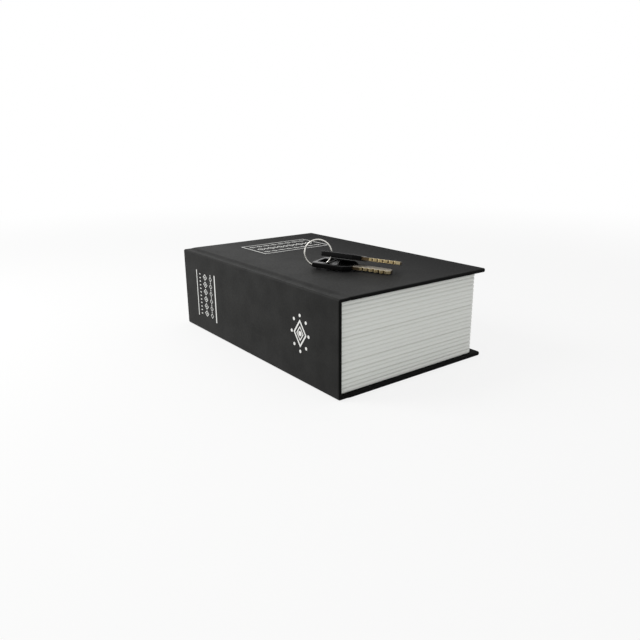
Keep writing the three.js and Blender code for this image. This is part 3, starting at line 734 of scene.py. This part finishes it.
def page_outline():
    """Round the outside of the strip and back along the tray, with the outward direction of each point."""
    outside = panel(block_low.x, block_high.x, block_high.y, page_radius, page_corner_steps)
    centres = [(block_high.x - page_radius, side * (block_high.y - page_radius)) for side in (-1, 1)]
    points = []
    for x, y in outside:
        if x > centres[0][0]:
            cx, cy = centres[0] if y < 0 else centres[1]
            away = Vector((x - cx, y - cy, 0)) if abs(y) > abs(cy) else Vector((1, 0, 0))
        else:
            away = Vector((0, math.copysign(1, y), 0))
        points.append(((x, y), away.normalized()))
    inner_x, inner_y = tray_high.x + wall_gap, tray_high.y + wall_gap
    inside = [(block_low.x, inner_y), (inner_x, inner_y), (inner_x, -inner_y), (block_low.x, -inner_y)]
    return points + [(point, Vector((0, 0, 0))) for point in inside]


outline = page_outline()
levels = [block_low.z + pitch * (k + share) for k in range(page_ribs) for share in page_steps]
levels.append(block_high.z)
bm = bmesh.new()
outward = bm.verts.layers.float_vector.new("outward")
_, rings = ringed([[(x, y, z) for (x, y), _ in outline] for z in levels], bm=bm)
for ring in rings:
    for vertex, (_, away) in zip(ring, outline):
        vertex[outward] = away
bm.faces.new(rings[0][::-1])
bm.faces.new(rings[-1])
pages = solid("pages", bm, page_paper)

rib_sizes = {"Bottom": block_low.z, "Pitch": pitch, "Groove Depth": page_groove,
             "Groove Share": page_groove_share, "Seed": rib_seed}
rib_tree, entry = geometry_tree("page_ribs", rib_sizes)
spot = add(rib_tree, "GeometryNodeInputPosition").outputs[0]
spot_z = add(rib_tree, "ShaderNodeSeparateXYZ", {0: spot}).outputs[2]
count = reckon(rib_tree, "DIVIDE", reckon(rib_tree, "SUBTRACT", spot_z, entry["Bottom"]), entry["Pitch"])
nearest = reckon(rib_tree, "ROUND", count)
chance, luck = [
    add(rib_tree, "ShaderNodeTexWhiteNoise", {"W": reckon(rib_tree, sign, nearest, entry["Seed"])},
        noise_dimensions="1D").outputs[0]
    for sign in ("ADD", "SUBTRACT")]
aside = reckon(rib_tree, "MULTIPLY_ADD", luck, rib_stray, -rib_stray / 2)
from_nearest = reckon(rib_tree, "SUBTRACT", count, nearest)
distance = reckon(rib_tree, "ABSOLUTE", reckon(rib_tree, "SUBTRACT", from_nearest, aside))
half_share = reckon(rib_tree, "MULTIPLY", entry["Groove Share"], 0.5)
groove = mapped(rib_tree, distance, half_share, 0.0, way="SMOOTHSTEP")
depth_share = reckon(rib_tree, "MULTIPLY_ADD", chance, rib_depth_spread, 1 - rib_depth_spread)
depth = reckon(rib_tree, "MULTIPLY", depth_share, entry["Groove Depth"])
sink = reckon(rib_tree, "MULTIPLY", reckon(rib_tree, "MULTIPLY", groove, depth), -1.0)
away = add(rib_tree, "GeometryNodeInputNamedAttribute", {"Name": "outward"}, data_type="FLOAT_VECTOR")
offset = add(rib_tree, "ShaderNodeVectorMath", {0: away.outputs[0], 3: sink}, operation="SCALE").outputs[0]
# How dark each rib's painted groove shade is, differing from rib to rib.
shade_strength = reckon(rib_tree, "MULTIPLY_ADD", chance, rib_shade_spread, 1 - rib_shade_spread)
shade = reckon(rib_tree, "MULTIPLY", groove, shade_strength)
marked = add(rib_tree, "GeometryNodeStoreNamedAttribute",
             {"Geometry": entry["Geometry"], "Name": "painted_groove_shade", "Value": shade},
             data_type="FLOAT", domain="POINT").outputs[0]
ribbed = add(rib_tree, "GeometryNodeSetPosition", {"Geometry": marked, "Offset": offset})
close_tree(rib_tree, ribbed.outputs[0], page_paper)
grown(pages, rib_tree, rib_sizes)


def cut_out(obj, tool):
    """Cuts the tool's shape out of a piece, and clears the tool away."""
    cut = obj.modifiers.new("cut", "BOOLEAN")
    cut.operation = "DIFFERENCE"
    cut.solver = "EXACT"
    cut.object = tool
    settle(obj)
    bpy.data.objects.remove(tool)


for node in ("hinge_rivet_tail", "hinge_rivet_head"):
    low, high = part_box(node)
    outer = low.y if low.y < 0 else high.y
    middle_y = outer - math.copysign(pocket_length / 2 - pocket_spare, outer)
    bm = bmesh.new()
    bmesh.ops.create_cone(bm, cap_ends=True, segments=32, radius1=rivet_tail_radius + pocket_spare,
                          radius2=rivet_tail_radius + pocket_spare, depth=pocket_length)
    bm.transform(Matrix.Translation(((low.x + high.x) / 2, middle_y, (low.z + high.z) / 2))
                 @ Matrix.Rotation(math.pi / 2, 4, "X"))
    cut_out(pages, solid("pocket_cutter", bm, page_paper))
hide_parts("page_block")
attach(pages, "case")

# Endpapers. White paper is pasted inside the front cover and runs over the joint to the tray. Black
# lining paper lies under the tray, and a coarser black sheet on the tray's floor.
paper_thickness = 0.2 * mm
paper_joint_rise = 0.25 * mm
paper_rise_run = 3 * mm
paper_joint_steps = 16
paper_start_gap = 0.45 * mm
wrinkle_size, wrinkle_softness = 1.6 * mm, 0.7
lining_edge, liner_edge = 0.05 * mm, 0.12 * mm

endpaper, tree, shader, place = finish("endpaper", tone(216, 218, 216), 0.82)
fibres = noise(tree, place, 0.7 * mm, 6.0)
colour_by(tree, shader, fibres, tone(209, 211, 209), tone(221, 223, 221))
raise_surface(tree, shader, fibres, 0.015 * mm)
black_paper, tree, shader, place = finish("black_paper", tone(26, 27, 27), 0.6, specular=0.4)
wrinkles = cells(tree, place, wrinkle_size, wrinkle_softness)
specks = noise(tree, place, 0.9 * mm, 4.0)
raise_surface(tree, shader, reckon(tree, "ADD", wrinkles, reckon(tree, "MULTIPLY", specks, 0.6)), 0.6 * mm)
colour_by(tree, shader, specks, tone(7, 8, 8), tone(26, 27, 27))
roughen_by(tree, shader, specks, 0.45, 0.7)
softened("back_endpaper", lining_edge, black_paper, "case", segments=1)
softened("tray_liner", liner_edge, black_paper, "case", segments=2)

paper_low, paper_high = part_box("front_endpaper")
paper_x0 = spine_face + paper_start_gap
joint_xs = [float(x) for x in np.linspace(paper_x0, board_edge, paper_joint_steps)]
rounded = panel(board_edge, paper_high.x, paper_high.y, corner_radius)
edge_points = [(x, paper_high.y) for x in joint_xs] + sorted((x, y) for x, y in rounded if y > 0)[1:]
bm = bmesh.new()
pairs = []
for x, y in edge_points:
    z = paper_low.z + paper_joint_rise * ease((board_edge - x) / paper_rise_run)
    pairs.append([bm.verts.new((x, side * y, z)) for side in (-1, 1)])
for (a, b), (c, d) in zip(pairs, pairs[1:]):
    bm.faces.new((a, b, d, c))
front_paper = walled(solid("front_endpaper_sheet", bm, endpaper), paper_thickness, sharp=50)
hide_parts("front_endpaper")
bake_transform(front_paper)

# Tray and lid. Both are 1 mm steel sheet with softly broken edges, stoved black; an angle strip
# inside the fore-edge wall takes the lid and the cam.
sheet_edge = 0.22 * mm

black_enamel, tree, shader, place = finish("black_enamel", tone(15, 16, 16), 0.3, specular=0.3)
raise_surface(tree, shader, noise(tree, place, 0.9 * mm, 2.0), 0.02 * mm)
roughen_by(tree, shader, noise(tree, place, 6 * mm), 0.27, 0.38)
for node, body in (("tray", "case"), ("catch_strip", "case"), ("lid_plate", "lid")):
    softened(node, sheet_edge, black_enamel, body)

# Hinge rivets. A zinc-plated rivet through each end wall carries the lid's ear; its head is domed, and
# its tail is set flat on the outside of the wall.
rivet_head_radius, rivet_head_height = 2.8 * mm, 1.2 * mm
rivet_shank_radius = 1.4 * mm
rivet_tail_height = 0.8 * mm
rivet_fillet = 0.25 * mm
dome_steps = 10
round_steps = 48

zinc_plate, tree, shader, place = finish("zinc_plate", tone(186, 188, 192), 0.26, metallic=1.0)
dulled = noise(tree, place, 2.5 * mm, 5.0)
roughen_by(tree, shader, dulled, 0.15, 0.38)
plate_tone = colour_between(tree, dulled, tone(158, 160, 164), tone(206, 208, 210))
# Painted shade: the plate darkens in the thread's grooves, where the body marks them.
colour_by(tree, shader, carried(tree, "thread_shade"), plate_tone, tone(38, 39, 41))
raise_surface(tree, shader, noise(tree, place, 0.6 * mm), 0.008 * mm)


def circle(radius, z, steps):
    """Points round the Z axis at height z, or the one point on it."""
    turns = [2 * math.pi * k / steps for k in range(steps)]
    return [(radius * math.cos(t), radius * math.sin(t), z) for t in turns] if radius else [(0, 0, z)]


def placed(name, bm, material, place):
    """A closed shape with its faces turned outwards, laid in its place."""
    bmesh.ops.recalc_face_normals(bm, faces=bm.faces)
    bm.transform(place)
    return solid(name, bm, material)


def turned(name, profile, material, place=Matrix()):
    """A round piece from (radius, height) points that start and end on its axis or go round a section."""
    bm = bmesh.new()
    rings = [[bm.verts.new(point) for point in circle(radius, z, round_steps)] for radius, z in profile]
    for low, high in zip(rings, rings[1:]):
        for k in range(round_steps):
            after = (k + 1) % round_steps
            corners = [low[k % len(low)], low[after % len(low)],
                       high[after % len(high)], high[k % len(high)]]
            bm.faces.new(list(dict.fromkeys(corners)))
    return placed(name, bm, material, place)


def rounded_profile(corners, radius, steps=4):
    """Softens the inner points of a (radius, height) line by a small fillet at each."""
    points = [Vector(corner) for corner in corners]
    line = [points[0]]
    for before, point, after in zip(points, points[1:], points[2:]):
        reach = min(radius, (before - point).length / 2, (after - point).length / 2)
        start = point + (before - point).normalized() * reach
        end = point + (after - point).normalized() * reach
        for k in range(steps + 1):
            t = k / steps
            line.append(start * (1 - t) ** 2 + point * 2 * t * (1 - t) + end * t ** 2)
    return [tuple(p) for p in line + [points[-1]]]


for side, node in ((-1, "hinge_rivet_tail"), (1, "hinge_rivet_head")):
    low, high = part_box(node)
    inner, outer = (high.y, low.y) if side < 0 else (low.y, high.y)
    length = abs(outer - inner)
    tail_start = length - rivet_tail_height
    dome = [(rivet_head_radius * math.cos(t), rivet_head_height * (1 - math.sin(t)))
            for t in np.linspace(math.pi / 2, 0, dome_steps)[1:-1]]
    shaft = [(rivet_head_radius, rivet_head_height), (rivet_shank_radius, rivet_head_height),
             (rivet_shank_radius, tail_start), (rivet_tail_radius, tail_start),
             (rivet_tail_radius, length), (0, length)]
    profile = [(0, 0)] + dome + rounded_profile(shaft, rivet_fillet)
    middle = Matrix.Translation(((low.x + high.x) / 2, inner, (low.z + high.z) / 2))
    outwards = Matrix.Rotation(-side * math.pi / 2, 4, "X")
    rivet = turned(node + "_domed", profile, zinc_plate, middle @ outwards)
    lock_in(rivet, node, "case")

# Cam lock. A threaded zinc body with two flats stands in the lid behind a chamfered flange, held by a
# washer and a hexagon nut; the plug with its keyway turns in it and carries the cam. The thread's
# grooves are darkened as painted shade.
thread_pitch = 1.0 * mm
thread_depth = 0.45 * mm
thread_steps = 72
thread_levels = 6
barrel_radius = 9.0 * mm
body_flats = 8.0 * mm
body_bore = 6.2 * mm
bore_lead, bore_lead_depth = 0.5 * mm, 0.4 * mm
lid_sheet = 1.0 * mm
flange_chamfer = 0.7 * mm
flange_fillet = 0.3 * mm
neck_depth = 0.2 * thread_depth

body_low, body_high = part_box("lock_body")
washer_low, washer_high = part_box("lock_washer")
nut_low, nut_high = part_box("lock_nut")
lock_x = (body_low.x + body_high.x) / 2
lock_place = Matrix.Translation((lock_x, 0, 0))
flange_bottom = nut_high.z + (washer_high.z - washer_low.z) + lid_sheet
flange_radius = (body_high.x - body_low.x) / 2
barrel_foot = body_low.z

rings = []
thread_shade_shares = []
level_count = int((flange_bottom - barrel_foot) / thread_pitch * thread_levels)
for z in [barrel_foot + thread_pitch * k / thread_levels for k in range(level_count)] + [flange_bottom]:
    ring = []
    lead_in = min(1.0, (z - barrel_foot) / thread_pitch)
    for k in range(thread_steps):
        turn = 2 * math.pi * k / thread_steps
        phase = (z / thread_pitch - k / thread_steps) % 1.0
        groove = thread_depth * abs(2 * phase - 1) + thread_depth * (1 - lead_in)
        groove = groove if z < flange_bottom - thread_pitch else neck_depth
        x, y = (barrel_radius - groove) * math.cos(turn), (barrel_radius - groove) * math.sin(turn)
        ring.append((min(max(x, -body_flats), body_flats), y, z))
        at_flat = barrel_radius * abs(math.cos(turn)) > body_flats
        # How deep a point lies in the thread's groove, which darkens it as painted shade; the flats stay
        # light.
        thread_shade_shares.append(0.0 if at_flat else min(groove / thread_depth, 1.0))
    rings.append(ring)
flange = [(flange_radius, flange_bottom), (flange_radius, body_high.z - flange_chamfer),
          (flange_radius - flange_chamfer, body_high.z), (body_bore + bore_lead, body_high.z),
          (body_bore, body_high.z - bore_lead_depth)]
for radius, z in rounded_profile(flange, flange_fillet) + [(body_bore, barrel_foot)]:
    rings.append(circle(radius, z, thread_steps))
bm = bmesh.new()
thread_shade = bm.verts.layers.float.new("thread_shade")
_, made = ringed(rings, closed=True, bm=bm)
for vertex, share in zip(sum(made, []), thread_shade_shares):
    vertex[thread_shade] = share
lock_in(placed("threaded_body", bm, zinc_plate, lock_place), "lock_body", "lid", sharp=30)

nut_steps = 96
nut_chamfer = 0.75 * mm
nut_face_inset = 0.1 * mm
nut_bore = 9.15 * mm
nut_lead = 0.4 * mm
nut_reach = min(nut_high.y - nut_low.y, nut_high.x - nut_low.x) / 2
nut_face = nut_reach - nut_face_inset
nut_peak = nut_reach / math.cos(math.pi / 6)
rings = []
for share, z in ((0.0, nut_low.z), (0.5, nut_low.z + nut_chamfer * 0.5), (1.0, nut_low.z + nut_chamfer),
                 (1.0, nut_high.z - nut_chamfer), (0.5, nut_high.z - nut_chamfer * 0.5), (0.0, nut_high.z)):
    ring = []
    for k in range(nut_steps):
        turn = 2 * math.pi * k / nut_steps
        from_flat = (turn - math.pi / 6) % (math.pi / 3) - math.pi / 6
        radius = min(nut_reach / math.cos(from_flat), nut_face + (nut_peak - nut_face) * share)
        ring.append((radius * math.cos(turn), radius * math.sin(turn), z))
    rings.append(ring)
for z, radius in ((nut_high.z, nut_bore + nut_lead), (nut_high.z - nut_lead, nut_bore),
                  (nut_low.z + nut_lead, nut_bore), (nut_low.z, nut_bore + nut_lead)):
    rings.append(circle(radius, z, nut_steps))
bm, _ = ringed(rings, closed=True)
lock_in(placed("hexagon_nut", bm, zinc_plate, lock_place), "lock_nut", "lid", sharp=20)
softened("lock_washer", 0.15 * mm, zinc_plate, "lid")

nickel_plate, tree, shader, place = finish("nickel_plate", tone(214, 212, 206), 0.24, metallic=1.0)
scuffs = noise(tree, place, 1.2 * mm, 6.0)
roughen_by(tree, shader, scuffs, 0.16, 0.36)
raise_surface(tree, shader, scuffs, 0.006 * mm)
brass, tree, shader, place = finish("brass", tone(220, 202, 146), 0.32, metallic=1.0)
roughen_by(tree, shader, noise(tree, place, 1.0 * mm, 4.0), 0.24, 0.44)

softened("lock_plug", 0.2 * mm, nickel_plate, "lock_core")
softened("stop_washer", 0.12 * mm, zinc_plate, "lock_core")
softened("lock_cam", 0.2 * mm, zinc_plate, "lock_core")
softened("cam_screw", 0.25 * mm, brass, "lock_core")

# Tooth washer. A small ring of zinc-plated spring steel under the cam screw, which holds it tight by the
# sixteen twisted teeth round its edge.
tooth_count = 16
tooth_length = 1.1 * mm
tooth_width = 0.9 * mm
tooth_lap = 0.1 * mm
tooth_bore = 2.1 * mm
tooth_sheet = 0.4 * mm
tooth_twist = math.radians(24)
tooth_weld = 0.001 * mm
tooth_low, tooth_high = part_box("tooth_washer")
tooth_outer = (tooth_high.x - tooth_low.x) / 2
tooth_root = tooth_outer - tooth_length
middle_z = (tooth_low.z + tooth_high.z) / 2

bm = bmesh.new()
bmesh.ops.create_cube(bm, size=1)
bm.transform(Matrix.Translation(((tooth_root + tooth_outer) / 2 - tooth_lap, 0, 0))
             @ Matrix.Rotation(tooth_twist, 4, "X")
             @ Matrix.Diagonal((tooth_length, tooth_width, tooth_sheet, 1)))
teeth = solid("washer_teeth", bm, zinc_plate)
tooth_sizes = {"Teeth": tooth_count}
tooth_tree, entry = geometry_tree("teeth_round_a_ring", tooth_sizes)
index = add(tooth_tree, "GeometryNodeInputIndex").outputs[0]
turn = reckon(tooth_tree, "MULTIPLY", index, reckon(tooth_tree, "DIVIDE", 2 * math.pi, entry["Teeth"]))
turning = add(tooth_tree, "ShaderNodeCombineXYZ", {2: turn}).outputs[0]
spots = add(tooth_tree, "GeometryNodeMeshLine", {"Count": entry["Teeth"], "Offset": (0, 0, 0)}).outputs[0]
copies = add(tooth_tree, "GeometryNodeInstanceOnPoints",
             {"Points": spots, "Instance": entry["Geometry"], "Rotation": turning})
close_tree(tooth_tree, copies.outputs[0], zinc_plate)
grown(teeth, tooth_tree, tooth_sizes)
half_sheet = tooth_sheet / 2
section = [(tooth_bore, -half_sheet), (tooth_root, -half_sheet), (tooth_root, half_sheet),
           (tooth_bore, half_sheet), (tooth_bore, -half_sheet)]
hoop = turned("washer_ring", section, zinc_plate)
bm = bmesh.new()
for part in (teeth, hoop):
    bm.from_mesh(part.data)
    bpy.data.objects.remove(part)
bmesh.ops.remove_doubles(bm, verts=bm.verts, dist=tooth_weld)
bm.transform(Matrix.Translation((lock_x, 0, middle_z)))
lock_in(solid("toothed_washer", bm, zinc_plate), "tooth_washer", "lock_core")

# Keys. Each has a black plastic head with a raised rim round a sunk panel and a slot for the ring, and
# a nickel-plated brass blade whose cuts show the bare brass. The heads' sides take a darker, duller
# plastic as painted shade; the blade's narrow sides are darkened as painted shade, and the brass of its
# cuts is brightened as a painted highlight, less on the slopes that face the tip.
key_head_bevel = 0.45 * mm
key_head_chamfer = 4.0 * mm
key_head_corner = 1.2 * mm
key_slot_from_end = 2.0 * mm
key_slot_length = 10.4 * mm
key_slot_width = 6.0 * mm
key_slot_corner = 1.0 * mm
key_corner_steps = 5
key_bevel_steps = 3
key_weld = 0.002 * mm
key_panel_rim = 1.7 * mm
key_panel_depth = 0.45 * mm
blade_bevel = 0.18 * mm
cut_from = 0.3 * mm
cut_slope = (0.3, 0.95)
tip_slope_glint = 0.45
head_side_lean, blade_side_lean = 0.4, 0.6

black_plastic, tree, shader, place = finish("black_plastic", tone(8, 8, 8), 0.26, specular=0.4)
raise_surface(tree, shader, noise(tree, place, 0.4 * mm, 2.0), 0.006 * mm)
# A darker, duller copy of the black plastic for the heads' sides, as painted shade.
shaded_plastic, tree, shader, place = finish("shaded_plastic", tone(7, 7, 7), 0.5, specular=0.06)
raise_surface(tree, shader, noise(tree, place, 0.3 * mm, 2.0), 0.012 * mm)
blade_metal, tree, shader, place = finish("blade_metal", tone(176, 168, 154), 0.3, metallic=1.0)
rubbed = noise(tree, place, 1.6 * mm, 4.0)
flat_metal = colour_between(tree, rubbed, tone(172, 165, 152), tone(208, 202, 190))
# Painted shade: the blade's narrow sides darken to a brownish tone.
side_shaded_metal = colour_between(tree, carried(tree, "side_shade"), flat_metal, tone(74, 62, 44))
# Bare brass where the blade is cut; its bright tone is also a painted highlight.
colour_by(tree, shader, carried(tree, "cut_brass_and_glint"), side_shaded_metal, tone(238, 222, 178))
roughen_by(tree, shader, rubbed, 0.42, 0.6)


def own_axes(node, toward=None):
    """The turned frame of a long flat node, with its sizes: X along it, Z through its thickness."""
    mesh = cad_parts[node].data
    points = np.unique(np.round([vertex.co[:] for vertex in mesh.vertices], 7), axis=0)
    _, axes = np.linalg.eigh(np.cov((points - points.mean(0)).T))
    ahead, up = Vector(axes[:, 2]), Vector(axes[:, 0])
    if toward is not None and ahead.dot(toward) < 0:
        ahead = -ahead
    if up.z < 0:
        up = -up
    across = up.cross(ahead)
    spans = [(min(points @ np.array(a)), max(points @ np.array(a))) for a in (ahead, across, up)]
    middle = Vector()
    for axis, (low, high) in zip((ahead, across, up), spans):
        middle += axis * (low + high) / 2
    turn = Matrix((ahead, across, up)).transposed().to_4x4()
    return Matrix.Translation(middle) @ turn, [high - low for low, high in spans]


def slot_loop(x0, x1, reach, radius):
    """A rectangle with four round corners."""
    loop = []
    for cx, cy, start in ((x1 - radius, reach - radius, 0), (x0 + radius, reach - radius, 90),
                          (x0 + radius, -reach + radius, 180), (x1 - radius, -reach + radius, 270)):
        loop += arc(cx, cy, radius, start, start + 90, key_corner_steps)
    return loop


def outline_curve(name, loops, depth, bevel):
    """A flat plate between its loops, with round edges, as a mesh; it lies about z 0."""
    curve = bpy.data.curves.new(name, "CURVE")
    curve.dimensions = "2D"
    curve.fill_mode = "BOTH"
    curve.extrude = depth / 2 - bevel
    curve.bevel_depth = bevel
    curve.bevel_resolution = key_bevel_steps
    curve.offset = -bevel
    for loop in loops:
        spline = curve.splines.new("POLY")
        spline.points.add(len(loop) - 1)
        spline.use_cyclic_u = True
        for point, (x, y) in zip(spline.points, loop):
            point.co = (x, y, 0, 1)
    holder = bpy.data.objects.new(name, curve)
    scene.collection.objects.link(holder)
    bpy.context.view_layer.update()
    mesh = bpy.data.meshes.new_from_object(holder.evaluated_get(bpy.context.evaluated_depsgraph_get()))
    bpy.data.objects.remove(holder)
    bm = bmesh.new()
    bm.from_mesh(mesh)
    bmesh.ops.remove_doubles(bm, verts=bm.verts, dist=key_weld)
    return bm


def key_head(node, place, sizes):
    """The plastic head, with its slot and a panel sunk on both faces."""
    length, width, thickness = sizes
    x0, x1, half = -length / 2, length / 2, width / 2
    outline = arc(x0 + key_head_corner, -half + key_head_corner, key_head_corner, 180, 270, key_corner_steps)
    outline += [(x1 - key_head_chamfer, -half), (x1, -half + key_head_chamfer),
                (x1, half - key_head_chamfer), (x1 - key_head_chamfer, half)]
    outline += arc(x0 + key_head_corner, half - key_head_corner, key_head_corner, 90, 180, key_corner_steps)
    slot_x0 = x0 + key_slot_from_end
    slot = slot_loop(slot_x0, slot_x0 + key_slot_width, key_slot_length / 2, key_slot_corner)
    bm = outline_curve(node, [outline, slot], thickness, key_head_bevel)
    head = solid(node + "_moulded", bm, black_plastic)
    panel_x0, panel_x1 = slot_x0 + key_slot_width + key_panel_rim, x1 - key_panel_rim
    inner = key_head_chamfer - key_panel_rim * 0.5
    reach = half - key_panel_rim
    sunk = [(panel_x0, -reach), (panel_x1 - inner, -reach), (panel_x1, -reach + inner),
            (panel_x1, reach - inner), (panel_x1 - inner, reach), (panel_x0, reach)]
    for facing in (-1, 1):
        bm, ends = ringed([[(x, y, z) for x, y in sunk] for z in (-key_panel_depth, key_panel_depth)])
        bm.faces.new(ends[0][::-1])
        bm.faces.new(ends[1])
        bm.transform(Matrix.Translation((0, 0, facing * thickness / 2)))
        cut_out(head, solid("panel_cutter", bm, black_plastic))
    # The sides of the head take the darker plastic as painted shade.
    faced(head, shaded_plastic, lambda face: abs(face.normal.z) < head_side_lean)
    head.data.transform(place)
    return head


def mark_sides(blade, ahead, across, up):
    """Marks the faces of a blade: painted shade on its narrow sides, and the bare brass where it is cut,
    brightened as a painted highlight, full on slopes facing the head and weaker on those facing the tip.
    """
    narrow, cut = [], []
    cut_side = min(vertex.co.dot(across) for vertex in blade.data.vertices)
    for face in blade.data.polygons:
        on_side = abs(face.normal.dot(up)) < blade_side_lean
        narrow.append(float(on_side))
        depth = face.center.dot(across) - cut_side
        sloped = cut_slope[0] < -face.normal.dot(across) < cut_slope[1]
        # Painted highlight: slopes that face the head shine fully, those facing the tip less.
        shine = 1.0 if face.normal.dot(ahead) < 0 else tip_slope_glint
        cut.append(shine if on_side and sloped and depth > cut_from else 0.0)
    for name, values in (("side_shade", narrow), ("cut_brass_and_glint", cut)):
        blade.data.attributes.new(name, "FLOAT", "FACE").data.foreach_set("value", values)


for key in ("lower_key", "upper_key"):
    head_node, blade_node = key + "_head", key + "_blade"
    head_box, blade_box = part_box(head_node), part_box(blade_node)
    toward = (blade_box[0] + blade_box[1] - head_box[0] - head_box[1]) / 2
    place, sizes = own_axes(head_node, toward)
    lock_in(key_head(head_node, place, sizes), head_node, key, sharp=30)
    blade = softened(blade_node, blade_bevel, blade_metal, key, segments=2)
    mark_sides(blade, *[place.col[k].to_3d() for k in range(3)])

# Key ring. A split ring of two turns of flat nickel-plated spring wire, with a jog where one turn
# crosses over to the other; it runs through the slots of both key heads.
wire_radial = 0.5 * mm
wire_axial = 0.26 * mm
wire_squareness = 0.7
wire_steps = 12
turn_offset = 0.27 * mm
ring_turns = 1.93
ring_steps = 220
jog_share = 0.035

place, sizes = own_axes("key_ring")
ring_radius = sizes[0] / 2 - wire_radial
rings = []
for k in range(ring_steps + 1):
    along = k / ring_steps
    turn = 2 * math.pi * ring_turns * along
    side = turn_offset * (2 * ease((along - 0.5) / jog_share + 0.5) - 1)
    ring = []
    for step in range(wire_steps):
        t = 2 * math.pi * step / wire_steps
        outward, upward = [math.copysign(abs(v) ** wire_squareness, v) for v in (math.cos(t), math.sin(t))]
        radius = ring_radius + wire_radial * outward
        ring.append((radius * math.cos(turn), radius * math.sin(turn), side + wire_axial * upward))
    rings.append(ring)
bm, made = ringed(rings)
bm.faces.new(made[0])
bm.faces.new(made[-1][::-1])
lock_in(placed("split_ring", bm, nickel_plate, place), "key_ring", "ring", sharp=50)
